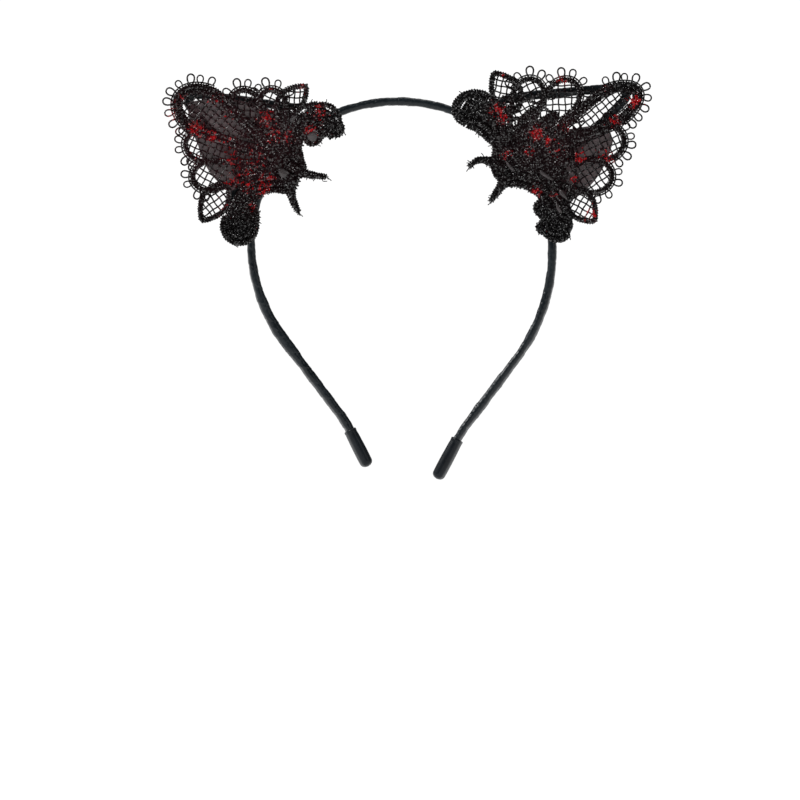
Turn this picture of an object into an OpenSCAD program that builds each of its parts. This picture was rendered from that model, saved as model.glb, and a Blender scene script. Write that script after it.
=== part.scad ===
// Lace cat-ear headband: a ribbon-wrapped spring-steel band with two wired lace ears.
// Drawn as seen from the front, X right, Y up and Z towards the front, then stood up:
// +Z up, front towards -Y, origin under the middle of the crown.

/* [Band] */
// Thickness of the ribbon-wrapped band, seen from the front
band_t = 2.8; // [2.6:0.1:3.2]
// Depth of the wrapped band, front to back
band_w = 5; // [4.8:0.1:5.4]
// Thickness of the spring-steel strip
strip_t = 0.8; // [0.6:0.1:1]
// Depth of the spring-steel strip
strip_w = 3.6; // [3:0.1:3.8]
// Radius of the arc over the crown
crown_r = 64; // [62:1:67]
// Radius of the left shoulder, hidden by the ear
left_shoulder_r = 54; // [53:0.5:55]
// Radius of the right shoulder
right_shoulder_r = 58; // [57:0.5:59]
// Radius of the left arm below the ear
left_arm_r = 63; // [60:1:66]
// Radius of the right arm below the ear
right_arm_r = 69; // [66:1:72]
// Length of the left arm's straight run
left_straight = 36; // [32:0.5:37]
// Length of the right arm's straight run
right_straight = 32; // [29:0.5:34]

/* [Flex joints] */
// Angle round the crown arc from its middle to each flex joint
flex_angle = 11; // [10:0.5:12]
// Running gap between a half's round end and the crown's socket
flex_gap = 0.2; // [0.15:0.05:0.3]

/* [End caps] */
// Wall of the dipped plastic cap
cap_wall = 0.7; // [0.6:0.05:0.8]
// Length of the left cap, tip included
left_cap_len = 16; // [14:0.5:17]
// Length of the right cap, tip included
right_cap_len = 17.5; // [15:0.5:18]

/* [Ear wires] */
// Radius of the bare ear wire
wire_r = 0.6; // [0.5:0.05:0.65]
// Radius over the ribbon wound round the ear wire, at its feet
wrap_r = 1; // [0.9:0.05:1.05]
// Width of the wound ribbon away from the feet, where it lies flatter
wrap_w = 3.4; // [2.4:0.1:3.6]
// Height of the ear wire in front of the band's middle
wire_z = 3.6; // [3.6:0.05:3.8]
// Forward lean of each ear about its two lashings
ear_lean = 7; // [5:0.5:9]

/* [Lace] */
// Thickness of the corded lace
lace_t = 1.2; // [1:0.1:1.4]
// Height of the back of the lace in front of the band's middle
lace_z = 5.5; // [5.5:0.05:5.7]
// How far the side petals curl forward
lace_curl = 8; // [6:0.5:10]
// Width of the edging loops past the petals
picot_w = 3.5; // [3:0.1:4]
// Thickness of the sheer lining
lining_t = 0.3; // [0.2:0.05:0.3]

/* [Lashings and glue] */
// Thickness of the thread wound round the band
lash_t = 0.6; // [0.5:0.05:0.7]
// Length of a lashing along the band
lash_len = 3.6; // [3:0.1:4]
// Thickness of the hot glue on the front of the band
glue_t = 0.9; // [0.6:0.1:0.9]

/* [Hidden] */
$fn = 48;

ribbon_black = "#15161b";
thread_black = "#120d10";

// Every pair below holds the left ear's value, then the right ear's. The left side is
// drawn on the right and mirrored, so all positions have positive X.
L = 0;
R = 1;
shoulder_r = [left_shoulder_r, right_shoulder_r];
cap_len = [left_cap_len, right_cap_len];

// The band's path: arcs as [radius, angle turned], straights as [0, length].
crown_angle = 16;
shoulder_angle = 75;
arm_angle = 36;
tip_bend = [[40, -10], [40, -9]];
cap_dome = band_t / 2 + cap_wall;
half_path = [
  [[crown_r, crown_angle - flex_angle], [left_shoulder_r, shoulder_angle], [left_arm_r, arm_angle],
   [0, left_straight], tip_bend[L]],
  [[crown_r, crown_angle - flex_angle], [right_shoulder_r, shoulder_angle], [right_arm_r, arm_angle],
   [0, right_straight], tip_bend[R]]
];
hinge = [crown_r * sin(flex_angle), band_t / 2 - crown_r * (1 - cos(flex_angle)), flex_angle];

// Each ear hangs on a line between two lashings, given by their angles round the shoulder.
lash_angle = [[31, 85], [31, 82]];
pin_half = 3;
barrel_r = wrap_r + 0.05;
bore_r = wire_r + 0.05;
foot_bend_r = 2.2;

// The fan's root, and its petals as [direction, length, half-width in degrees, pointed].
root = [[41.5, -22.5], [41.5, -25]];
petals = [
  [[101, 30, 12, true], [72, 30, 13, false], [51.5, 35, 11.5, false], [30.5, 51.5, 12, false],
   [11, 42, 11, false], [-9, 39, 11, false], [-32, 41, 11, true]],
  [[96, 37, 11, true], [71.5, 37, 12, false], [51, 43.5, 10, false], [30.5, 60.5, 11, false],
   [15, 48, 10, false], [-4, 42, 10.5, false], [-29, 40, 11, true]]
];
fan_floor = 14;
fan_inner = 7.5;
fan_span = [[-37, 107], [-37, 101]];
lining_span = [-22, 74];
lining_reach = 0.7;

// Scroll centres with the radius of their rims: the large lobe, then the small one.
upper_scroll = [[[29, -6], 6, [34.3, -12.6], 2.6], [[30, -2], 6, [25.6, -6], 2.4]];
lower_scroll = [[[61.5, -46.5], 6, [57.2, -39.6], 2.2], [[62, -46.5], 6, [56, -39.8], 2.6]];
scroll_rim_r = 1;

// The root's two tails and the cords that run to the scrolls, as [x, y, radius] points.
tails = [
  [[[39, -26, 2.2], [34, -27, 1.6], [28, -27.6, 1.2]], [[41.5, -28.5, 2.4], [41, -36, 1.7], [39.3, -41, 1.2]]],
  [[[39, -25.5, 2.2], [34.6, -21.6, 1.5], [28, -23.6, 1.1]], [[40, -29, 2.4], [38.4, -33.5, 1.8], [36.3, -36.5, 1.3]]]
];
rails = [
  [[[39.6, -20.6, 1.6], [38, -18.4, 1.2], [36.8, -17, 0.9]], [[44.6, -27.2, 1.3], [50.2, -32.6, 1], [53.4, -36.4, 0.6]]],
  [[[40, -21.5, 1.6], [38, -16, 1.2], [36.2, -9, 0.9]], [[44.2, -29.4, 1.3], [49.4, -34, 1], [52.2, -36.4, 0.6]]]
];

// Corners of each ear wire between its feet, as [x, y, bend radius].
wire_corners = [
  [[43, -0.8, 30], [85.5, 5, 3], [60, -24, 8], [66.4, -46, 3]],
  [[46, 3, 30], [93, 7.2, 3], [62, -24, 8], [66.8, -47, 3]]
];

// ---- Paths ---------------------------------------------------------------------------

// A state is [x, y, heading], with the heading in degrees below +X.
function advance(p, leg) =
  let (turned = p[2] + leg[1], s = sign(leg[1]) * leg[0])
  leg[0] == 0
    ? [p[0] + leg[1] * cos(p[2]), p[1] - leg[1] * sin(p[2]), p[2]]
    : [p[0] + s * (sin(turned) - sin(p[2])), p[1] + s * (cos(turned) - cos(p[2])), turned];
function state_after(path, start, n) = n == 0 ? start : advance(state_after(path, start, n - 1), path[n - 1]);

// States along a whole path, one every few degrees of each arc.
arc_step = 4;
function states(path, start) = [
  start,
  for (i = [0 : len(path) - 1])
    let (from = state_after(path, start, i), leg = path[i],
         steps = leg[0] == 0 ? 1 : ceil(abs(leg[1]) / arc_step))
    for (k = [1 : steps]) advance(from, [leg[0], leg[1] * k / steps])];

// States round a flat wire through corner points given as [x, y, bend radius].
bend_step = 15;
function flat(p) = [p[0], p[1]];
function unit(v) = v / norm(v);
function bend(a, b) = atan2(a[0] * b[1] - a[1] * b[0], a * b);
function corner_states(a, c, b) =
  let (d = unit(flat(c) - flat(a)), turned = bend(d, flat(b) - flat(c)),
       from = flat(c) - d * c[2] * tan(abs(turned) / 2), steps = ceil(abs(turned) / bend_step))
  [for (k = [0 : steps]) advance([from[0], from[1], -atan2(d[1], d[0])], [c[2], -turned * k / steps])];
function wire_states(w) =
  let (n = len(w) - 1, d = w[1] - w[0], e = w[n] - w[n - 1])
  concat([[w[0][0], w[0][1], -atan2(d[1], d[0])]],
         [for (i = [1 : n - 1]) each corner_states(w[i - 1], w[i], w[i + 1])],
         [[w[n][0], w[n][1], -atan2(e[1], e[0])]]);

// A section's points, given as [across, depth], set square to a state.
function ring(p, section) = [for (q = section) [p[0] + q[0] * sin(p[2]), p[1] + q[0] * cos(p[2]), q[1]]];
function round_section(r, sides) = [for (k = [0 : sides - 1]) r * [cos(360 * k / sides), sin(360 * k / sides)]];

// Closed solid through rings of equal size: capped at its ends, or joined up as a tube.
module skin(rings, joined = false) {
  n = len(rings);
  m = len(rings[0]);
  at = function (i, k) (i % n) * m + k % m;
  polyhedron(
    [for (r = rings) each r],
    [for (i = [0 : joined ? n - 1 : n - 2]) for (k = [0 : m - 1]) each [
       [at(i, k), at(i, k + 1), at(i + 1, k + 1)], [at(i, k), at(i + 1, k + 1), at(i + 1, k)]],
     if (!joined) each [[for (k = [m - 1 : -1 : 0]) k], [for (k = [0 : m - 1]) (n - 1) * m + k]]]);
}
function reversed(v) = [for (i = [len(v) - 1 : -1 : 0]) v[i]];

// ---- Placing -------------------------------------------------------------------------

// Stands the front view up and mirrors the left side into its place.
module stand(side = R) { rotate([90, 0, 0]) mirror([side == L ? 1 : 0, 0, 0]) children(); }

// Centre of a shoulder arc, and a point on the shoulder.
function shoulder_centre(side) =
  let (p = state_after(half_path[side], hinge, 1))
  [p[0] - shoulder_r[side] * sin(p[2]), p[1] - shoulder_r[side] * cos(p[2])];
function on_shoulder(side, a) = shoulder_centre(side) + shoulder_r[side] * [sin(a), cos(a)];
function lash_at(side, end) = on_shoulder(side, lash_angle[side][end]);
function ear_axis(side) = unit(lash_at(side, 1) - lash_at(side, 0));

// Leans an ear piece forward about the line through its lashings.
module on_ear(side) {
  pivot = [lash_at(side, 0)[0], lash_at(side, 0)[1], wire_z];
  stand(side) translate(pivot) rotate(ear_lean, [ear_axis(side)[0], ear_axis(side)[1], 0]) translate(-pivot)
    children();
}

// ---- Band ----------------------------------------------------------------------------

// The wrapped band's section has round edges, drawn as a square between two circles.
module stadium(grow = 0) {
  r = band_t / 2 + grow;
  square([2 * r, band_w - band_t], center = true);
  for (s = [-1, 1]) translate([0, s * (band_w - band_t) / 2]) circle(r);
}
module strip_section() { square([strip_t, strip_w], center = true); }

// The band's section as twelve points, for the swept halves, and the slot for the strip.
corners = [for (k = [0 : 11]) [cos(30 * k + 15), sin(30 * k + 15)]];
function oval_points(r, half_run) = [for (c = corners) [r * c[0], r * c[1] + sign(c[1]) * half_run]];
function stadium_points(r) = oval_points(r, (band_w - band_t) / 2);
slot_r = strip_t / 2 + 0.2;
slot_points = oval_points(slot_r, strip_w / 2 - 0.3);

// A round end of the wrapped band, turned about an axis from front to back.
module round_end(grow = 0) {
  r = band_t / 2 + grow;
  cylinder(h = band_w - band_t, r = r, center = true);
  for (s = [-1, 1]) translate([0, 0, s * (band_w - band_t) / 2]) sphere(r);
}
module crown_arc(half_angle) {
  translate([0, band_t / 2 - crown_r, 0]) rotate([0, 0, 90 - half_angle])
    rotate_extrude(angle = 2 * half_angle) translate([crown_r, 0]) children();
}
socket_angle = (band_t / 2 + flex_gap + 0.3) / crown_r * 180 / PI;

module crown_core() { color("#8d9299") stand() crown_arc(flex_angle - socket_angle) strip_section(); }
module crown_ribbon() {
  color(ribbon_black) stand() difference() {
    crown_arc(flex_angle) stadium();
    crown_arc(flex_angle - socket_angle) strip_section();
    for (s = [-1, 1]) translate([s * hinge[0], hinge[1], 0]) round_end(flex_gap);
  }
}

function tip_state(side) = state_after(half_path[side], hinge, len(half_path[side]));
function in_cap(side) = [0, cap_len[side] - 2 * cap_dome];
function half_states(side) = states(concat(half_path[side], [in_cap(side)]), hinge);

module half_core(side) {
  path = half_states(side);
  edge = function (across) [for (p = path) [p[0] + across * sin(p[2]), p[1] + across * cos(p[2])]];
  color("#8d9299") stand(side) linear_extrude(strip_w, center = true)
    polygon(concat(edge(strip_t / 2), reversed(edge(-strip_t / 2))));
}
// Rings that draw the band in to a round end, from its full section outwards.
end_angles = [24, 48, 72];
function rounding(p, direction, r) =
  [for (a = end_angles) ring(advance(p, [0, direction * r * sin(a)]), stadium_points(r * cos(a)))];

module half_ribbon(side) {
  path = half_states(side);
  color(ribbon_black) stand(side) skin(concat(
    reversed(rounding(hinge, -1, band_t / 2)),
    [for (p = path) ring(p, stadium_points(band_t / 2))],
    reversed([for (p = path) ring(p, slot_points)])));
}
module end_cap(side) {
  fit = 0.03;
  r = band_t / 2 + cap_wall;
  mouth = tip_state(side);
  deep = advance(mouth, [0, in_cap(side)[1] + fit]);
  end = advance(mouth, [0, cap_len[side] - cap_dome]);
  color("#0b0b0d") stand(side) skin(concat(
    [for (p = [deep, mouth]) ring(p, stadium_points(band_t / 2 + fit))],
    [for (p = [mouth, end]) ring(p, stadium_points(r))],
    rounding(end, 1, r)));
}

// ---- Ear wires -----------------------------------------------------------------------

function foot(side, end, along) = lash_at(side, end) + along * ear_axis(side);
function foot_corner(side, end, next) =
  let (s = end == 0 ? -1 : 1,
       turned = abs(bend(s * ear_axis(side), next - foot(side, end, s * (pin_half + 4)))))
  concat(foot(side, end, s * (pin_half + foot_bend_r * tan(turned / 2) + 0.2)), foot_bend_r);
function wire_points(side, foot_in) =
  let (c = wire_corners[side])
  concat([concat(foot(side, 0, foot_in), 0), foot_corner(side, 0, flat(c[0]))], c,
         [foot_corner(side, 1, flat(c[3])), concat(foot(side, 1, -foot_in), 0)]);

// The wrapping's section: round near a foot, and flatter from there on.
flatter_from = 8;
function wrap_half(side, p) =
  let (d = min(norm(flat(p) - lash_at(side, 0)), norm(flat(p) - lash_at(side, 1))))
  wrap_r + (wrap_w / 2 - wrap_r) * max(0, min(1, (d - flatter_from) / 8));
function wrap_section(side, p) = [for (q = round_section(1, 10)) [wrap_half(side, p) * q[0], wrap_r * q[1]]];

module ear_wire(side) {
  color("#3a3b40") on_ear(side) translate([0, 0, wire_z]) skin(
    [for (p = wire_states(wire_points(side, pin_half))) ring(p, round_section(wire_r, 10))]);
}
module wire_wrap(side) {
  path = wire_states(wire_points(side, -pin_half - 0.05));
  color(ribbon_black) on_ear(side) translate([0, 0, wire_z])
    skin(concat([for (p = path) ring(p, wrap_section(side, p))],
                reversed([for (p = path) ring(p, round_section(wire_r + 0.01, 10))])), true);
}

// ---- Lace ----------------------------------------------------------------------------

// Reach of one petal in direction a: a rounded scallop, or a pointed leaf.
function petal_reach(p, a) =
  let (off = abs(a - p[0]) / p[2])
  p[1] * (p[3] ? 1 - 0.3 * off : 1 - 0.14 * off * off);
function fan_reach(side, a) = max(fan_floor, max([for (p = petals[side]) petal_reach(p, a)]));
// The edging loops stand only on the rounded petals.
function edging(side, a) = a > petals[side][0][0] - 10 || a < petals[side][6][0] + 9 ? 0 : picot_w;
function curl(side, r, a) = lace_curl * pow(r / 50, 2) * pow(sin(a - petals[side][3][0]), 2);
function on_lace(side, r, a, z) = [root[side][0] + r * cos(a), root[side][1] + r * sin(a), z + curl(side, r, a)];

// Closed shell between two grids of points that run outwards, then round the fan.
module shell(front, back) {
  n = len(front);
  m = len(front[0]);
  points = [for (grid = [front, back]) for (row = grid) for (p = row) p];
  f = function (i, j) i * m + j;
  b = function (i, j) (n + i) * m + j;
  faces = [
    for (i = [0 : n - 2]) for (j = [0 : m - 2]) each [
      [f(i, j), f(i + 1, j + 1), f(i + 1, j)], [f(i, j), f(i, j + 1), f(i + 1, j + 1)],
      [b(i, j), b(i + 1, j), b(i + 1, j + 1)], [b(i, j), b(i + 1, j + 1), b(i, j + 1)]],
    for (j = [0 : m - 2]) each [
      [f(0, j + 1), f(0, j), b(0, j)], [f(0, j + 1), b(0, j), b(0, j + 1)],
      [f(n - 1, j), f(n - 1, j + 1), b(n - 1, j + 1)], [f(n - 1, j), b(n - 1, j + 1), b(n - 1, j)]],
    for (i = [0 : n - 2]) each [
      [f(i, 0), f(i + 1, 0), b(i + 1, 0)], [f(i, 0), b(i + 1, 0), b(i, 0)],
      [f(i + 1, m - 1), f(i, m - 1), b(i, m - 1)], [f(i + 1, m - 1), b(i, m - 1), b(i + 1, m - 1)]]
  ];
  polyhedron(points, faces);
}
module lace_shell(side, span, reach, add, z, t, rings, rays) {
  grid = function (depth) [
    for (i = [0 : rings]) [
      for (j = [0 : rays])
        let (a = span[0] + (span[1] - span[0]) * j / rays,
             outer = reach * fan_reach(side, a) + add * edging(side, a))
        on_lace(side, fan_inner + (outer - fan_inner) * i / rings, a, depth)]];
  shell(grid(z + t), grid(z));
}
module lace_fan(side) { color("#1c1114") on_ear(side) lace_shell(side, fan_span[side], 1, 1, lace_z, lace_t, 4, 70); }
module lining(side) {
  color("#4a3a3c") on_ear(side)
    lace_shell(side, lining_span, lining_reach, 0, lace_z - 0.2 - lining_t, lining_t, 4, 32);
}

// A flat lobe with a corded rim and an eyelet at its centre.
module lobe(centre, r, eyelet) {
  translate([centre[0], centre[1], lace_z + lace_t / 2 - 0.1]) {
    rotate_extrude() translate([r, 0]) circle(scroll_rim_r / 2);
    difference() {
      cylinder(h = 0.6, r = r, center = true);
      cylinder(h = 2, r = eyelet, center = true);
    }
  }
}
module scroll(side, s) {
  color(thread_black) on_ear(side) {
    lobe(s[0], s[1], 1.4);
    lobe(s[2], s[3], 0.9);
  }
}
// The dense embroidery at the root, drawn out into its tails and scroll cords.
module lace_stem(side) {
  color(thread_black) on_ear(side) translate([0, 0, lace_z + lace_t / 2]) {
    translate([root[side][0], root[side][1], 0]) cylinder(h = lace_t, r = 6.3, center = true);
    for (cord = concat(tails[side], rails[side]))
      for (i = [0 : len(cord) - 2]) hull() {
        for (p = [cord[i], cord[i + 1]])
          translate([p[0], p[1], 0]) scale([1, 1, 0.5]) sphere(p[2], $fn = 12);
      }
  }
}

// ---- Lashings and glue ---------------------------------------------------------------

// Thread wound round the band, with a barrel that holds one foot of the ear wire.
module lashing(side, end) {
  turn = lash_len / shoulder_r[side] * 180 / PI;
  color(thread_black) stand(side) difference() {
    union() {
      translate(shoulder_centre(side)) rotate([0, 0, 90 - lash_angle[side][end] - turn / 2])
        rotate_extrude(angle = turn) translate([shoulder_r[side], 0]) difference() {
          stadium(lash_t);
          stadium(0.06);
        }
      along_foot(side, end, pin_half - 0.1) cylinder(h = 2 * pin_half - 0.2, r = barrel_r);
    }
    along_foot(side, end, pin_half + 3) cylinder(h = 2 * pin_half + 6, r = bore_r);
  }
}
module along_foot(side, end, half) {
  start = foot(side, end, -half);
  translate([start[0], start[1], wire_z])
    rotate([0, 0, atan2(ear_axis(side)[1], ear_axis(side)[0])]) rotate([0, 90, 0]) children();
}

// A flattened blob of hot glue that spreads from the root on to the front of the band.
module glue_pad(side) {
  a = atan2(root[side][0] - shoulder_centre(side)[0], root[side][1] - shoulder_centre(side)[1]) - 2;
  centre = shoulder_centre(side) + (shoulder_r[side] - 2.4) * [sin(a), cos(a)];
  color("#55504f") stand(side) translate([centre[0], centre[1], band_w / 2]) cylinder(h = glue_t, r1 = 3.2, r2 = 2.6);
}

crown_core();
half_core(L);  // left_core
half_core(R);  // right_core
crown_ribbon();
half_ribbon(L);  // left_ribbon
half_ribbon(R);  // right_ribbon
end_cap(L);  // left_end_cap
end_cap(R);  // right_end_cap
ear_wire(L);  // left_ear_wire
ear_wire(R);  // right_ear_wire
wire_wrap(L);  // left_wire_wrap
wire_wrap(R);  // right_wire_wrap
lace_fan(L);  // left_lace_fan
lace_fan(R);  // right_lace_fan
lining(L);  // left_lining
lining(R);  // right_lining
scroll(L, upper_scroll[L]);  // left_upper_scroll
scroll(R, upper_scroll[R]);  // right_upper_scroll
scroll(L, lower_scroll[L]);  // left_lower_scroll
scroll(R, lower_scroll[R]);  // right_lower_scroll
lace_stem(L);  // left_lace_stem
lace_stem(R);  // right_lace_stem
lashing(L, 0);  // left_upper_lashing
lashing(R, 0);  // right_upper_lashing
lashing(L, 1);  // left_lower_lashing
lashing(R, 1);  // right_lower_lashing
glue_pad(L);  // left_glue_pad
glue_pad(R);  // right_glue_pad
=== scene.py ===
import math

import bmesh
import bpy
import numpy as np
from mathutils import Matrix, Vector


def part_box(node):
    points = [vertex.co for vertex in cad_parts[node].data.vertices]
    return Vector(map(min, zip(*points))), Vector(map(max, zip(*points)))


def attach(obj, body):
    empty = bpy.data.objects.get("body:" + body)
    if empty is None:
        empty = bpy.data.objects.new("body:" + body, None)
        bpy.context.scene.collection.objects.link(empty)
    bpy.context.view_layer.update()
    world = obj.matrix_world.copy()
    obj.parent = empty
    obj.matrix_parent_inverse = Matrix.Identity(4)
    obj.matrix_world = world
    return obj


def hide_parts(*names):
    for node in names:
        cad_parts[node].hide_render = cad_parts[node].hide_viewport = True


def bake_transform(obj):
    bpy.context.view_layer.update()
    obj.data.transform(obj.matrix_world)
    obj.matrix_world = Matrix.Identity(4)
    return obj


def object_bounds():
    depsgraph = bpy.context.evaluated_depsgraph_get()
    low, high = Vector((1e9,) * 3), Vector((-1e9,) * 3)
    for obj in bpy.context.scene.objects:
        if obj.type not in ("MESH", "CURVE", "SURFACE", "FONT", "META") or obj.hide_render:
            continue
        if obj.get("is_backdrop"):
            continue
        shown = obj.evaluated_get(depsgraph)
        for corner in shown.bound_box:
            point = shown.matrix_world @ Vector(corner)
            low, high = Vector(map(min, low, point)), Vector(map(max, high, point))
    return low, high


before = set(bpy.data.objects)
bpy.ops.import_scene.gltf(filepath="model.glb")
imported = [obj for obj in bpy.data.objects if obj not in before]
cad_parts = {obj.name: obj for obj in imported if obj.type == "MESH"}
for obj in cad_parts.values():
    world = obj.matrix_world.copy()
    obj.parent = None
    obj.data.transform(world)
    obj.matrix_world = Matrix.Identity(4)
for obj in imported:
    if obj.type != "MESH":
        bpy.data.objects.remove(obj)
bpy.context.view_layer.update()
SIDES = ("left", "right")
MM = 0.001


# ---- Studio: a light table, soft lamps and the camera ------------------------------------------
# The band stands upright, as it is worn, over a round table of backlit white acrylic that coves
# up into a wall behind it. Four soft boxes and a faint, even sky bring out the black thread.
def linear(hex_colour):
    """An sRGB hex colour as the linear RGBA that a shader socket takes."""
    parts = [int(hex_colour[i:i + 2], 16) / 255 for i in (1, 3, 5)]
    return tuple(c / 12.92 if c <= 0.04045 else ((c + 0.055) / 1.055) ** 2.4 for c in parts) + (1.0,)


def add(tree, kind, inputs=None, **settings):
    """Adds a node with its settings, its input values and the sockets that feed it."""
    made = tree.nodes.new(kind)
    for key, value in settings.items():
        setattr(made, key, value)
    for key, value in (inputs or {}).items():
        if isinstance(value, bpy.types.NodeSocket):
            tree.links.new(value, made.inputs[key])
        else:
            made.inputs[key].default_value = value
    return made


def put(name, data):
    """A new object in the scene, for a mesh, a lamp or a camera."""
    made = bpy.data.objects.new(name, data)
    bpy.context.scene.collection.objects.link(made)
    return made


def finish_named(name, **constants):
    """A new material with these constants on its shader, the shader, and the object coordinates."""
    material = bpy.data.materials.new(name)
    material.use_nodes = True
    shader = material.node_tree.nodes["Principled BSDF"]
    for key, value in constants.items():
        shader.inputs[key.replace("_", " ")].default_value = value
    return material, shader, add(material.node_tree, "ShaderNodeTexCoord").outputs["Object"]


# Backlit white acrylic: it glows evenly just at white, so the thinnest threads stay dark on it.
acrylic = finish_named("backlit_white_acrylic", Base_Color=linear("#5a5a5a"), Roughness=0.9,
                       Emission_Color=(1, 1, 1, 1), Emission_Strength=0.97)[0]

# A round light table, with a coved wall round its back and sides and none behind the camera.
FLOOR_Z, WALL_R, COVE, WALL_TOP = -0.275, 2.6, 0.5, 0.5
OPEN_FRONT = -0.4  # the wall stops where the sine of its turn falls below this
profile = [(WALL_R - COVE + COVE * math.sin(a), FLOOR_Z + COVE * (1 - math.cos(a)))
           for a in np.linspace(0, math.pi / 2, 9)]
profile += [(WALL_R, WALL_TOP)]
turns = np.radians(np.arange(0, 360, 5))
corners = [(r * math.cos(t), r * math.sin(t), z) for r, z in profile for t in turns]
faces = [tuple(range(len(turns)))]
for i in range(len(profile) - 1):
    for k in range(len(turns)):
        if math.sin(turns[k]) > OPEN_FRONT:
            a, b = i * len(turns) + k, i * len(turns) + (k + 1) % len(turns)
            faces.append((b, a, a + len(turns), b + len(turns)))
mesh = bpy.data.meshes.new("light_table")
mesh.from_pydata(corners, [], faces)
mesh.materials.append(acrylic)
table = put("light_table", mesh)
table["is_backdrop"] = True

sky = bpy.data.worlds.new("even_sky")
sky.use_nodes = True
sky.node_tree.nodes["Background"].inputs["Color"].default_value = (1, 1, 1, 1)
sky.node_tree.nodes["Background"].inputs["Strength"].default_value = 0.08
bpy.context.scene.world = sky
bpy.context.scene.view_settings.view_transform = "Standard"

SOFT_BOXES = {  # place and aim in metres, then size in metres and power in watts
    "key_box": ((-0.65, -0.45, 0.6), (0.0, 0.0, -0.05), 0.25, 6.0),
    "rim_box": ((-0.8, 0.1, 0.6), (0.0, 0.0, -0.08), 0.12, 5.0),
    "fill_box": ((0.7, -0.8, 0.25), (0.0, 0.0, -0.05), 0.5, 1.0),
    "top_box": ((0.1, 0.2, 0.8), (0.0, 0.0, -0.03), 0.5, 2.0),
}
for name, (place, aim, size, power) in SOFT_BOXES.items():
    lamp = bpy.data.lights.new(name, "AREA")
    lamp.size = size
    lamp.energy = power
    box = put(name, lamp)
    box.location = place
    box.rotation_euler = (Vector(aim) - Vector(place)).to_track_quat("-Z", "Y").to_euler()

lens = bpy.data.cameras.new("front_camera")
lens.lens = 250
lens.sensor_width = 36
lens.clip_end = 20
camera = put("front_camera", lens)
camera.location = (0.0008, -2.1475, -0.114)
camera.rotation_euler = (math.radians(90), 0, 0)
bpy.context.scene.camera = camera


# ---- Spring-steel strip inside the band --------------------------------------------------------
# Hair bands of this kind are bent from cold-rolled spring strip, blued by its heat treatment.
# The ribbon hides it from end to end. The CAD solids keep their shape.
def noise(where, scale, detail, roughness=0.5):
    """A noise texture's value, in the node tree that the socket "where" belongs to."""
    return add(where.id_data, "ShaderNodeTexNoise", {"Vector": where, "Scale": scale, "Detail": detail,
                                                     "Roughness": roughness}).outputs["Fac"]


def mixed(factor, *colours):
    """A mix of two colours, each a hex string or a socket."""
    first, second = (linear(c) if isinstance(c, str) else c for c in colours)
    return add(factor.id_data, "ShaderNodeMix", {0: factor, 6: first, 7: second}, data_type="RGBA").outputs[2]


def bump(height, strength, distance, **normal):
    """A bumped normal, which may add to another one given as Normal."""
    inputs = {"Height": height, "Strength": strength, "Distance": distance, **normal}
    return add(height.id_data, "ShaderNodeBump", inputs).outputs[0]


def feed(shader, **sockets):
    """Links sockets to a shader's inputs."""
    for key, value in sockets.items():
        shader.id_data.links.new(value, shader.inputs[key.replace("_", " ")])


steel, shader, where = finish_named("cold_rolled_spring_steel", Metallic=1.0, Roughness=0.32)
along = add(where.id_data, "ShaderNodeMapping", {"Vector": where, "Scale": (400.0, 6000.0, 400.0)})
grain = noise(along.outputs[0], 1.0, 2.0)
feed(shader, Base_Color=mixed(grain, "#6d7379", "#8d9299"), Normal=bump(grain, 0.15, 0.00002))
for node in ("crown_core", "left_core", "right_core"):
    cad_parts[node].data.materials.clear()
    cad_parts[node].data.materials.append(steel)


# ---- Satin ribbon wound round the band ---------------------------------------------------------
# One black polyester satin ribbon, 10 mm wide, is wound in a long spiral over the steel, each
# turn lapping the one before. Its laps leave a low step and slow swellings along the arms.
BAND_T, BAND_W = 2.8, 5.0
BAND_LEGS = {  # arcs as (radius, degrees turned), straights as (0, length), from the crown's middle
    "left": [(64, 16), (54, 75), (63, 36), (0, 36), (40, -10)],
    "right": [(64, 16), (58, 75), (69, 36), (0, 32), (40, -9)],
}
IN_CAP = {"left": 11.8, "right": 13.3}
LAP_PITCH, LAP_STEP = 7.4, 0.22
LAP_EDGE, LAP_SLOPE = 0.05, 0.55  # shares of a turn that the edge takes, and of its step then lost
TWIST = 17  # degrees that each arm turns about its own length, between the crown and its tip
SWELLS = {  # half the wrapped width down each arm, as (height, half-width)
    "left": [(-135, 1.55), (-124, 1.6), (-118, 1.5), (-106, 1.5), (-91, 1.95), (-75, 1.7), (-60, 1.45),
             (-45, 1.5)],
    "right": [(-135, 1.2), (-124, 1.35), (-118, 1.55), (-106, 1.4), (-91, 1.3), (-75, 1.65), (-60, 1.55),
              (-45, 1.5)],
}


def band_run(side, past_mouth, step=0.3):
    """Rows of (length so far, x, y, heading in degrees below +X) down one half of the band."""
    x, y, heading, run = 0.0, BAND_T / 2, 0.0, 0.0
    rows = [(run, x, y, heading)]
    for radius, amount in BAND_LEGS[side] + [(0, past_mouth)]:
        length = abs(amount) if radius == 0 else math.radians(abs(amount)) * radius
        count = max(1, round(length / step))
        from_angle = math.radians(heading)
        for k in range(1, count + 1):
            part = amount * k / count
            if radius == 0:
                point = (x + part * math.cos(from_angle), y - part * math.sin(from_angle), heading)
            else:
                arc = math.copysign(radius, amount)
                turned = math.radians(heading + part)
                point = (x + arc * (math.sin(turned) - math.sin(from_angle)),
                         y + arc * (math.cos(turned) - math.cos(from_angle)), heading + part)
            rows.append((run + length * k / count,) + point)
        run, (x, y, heading) = run + length, point
    return np.array(rows)


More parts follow.
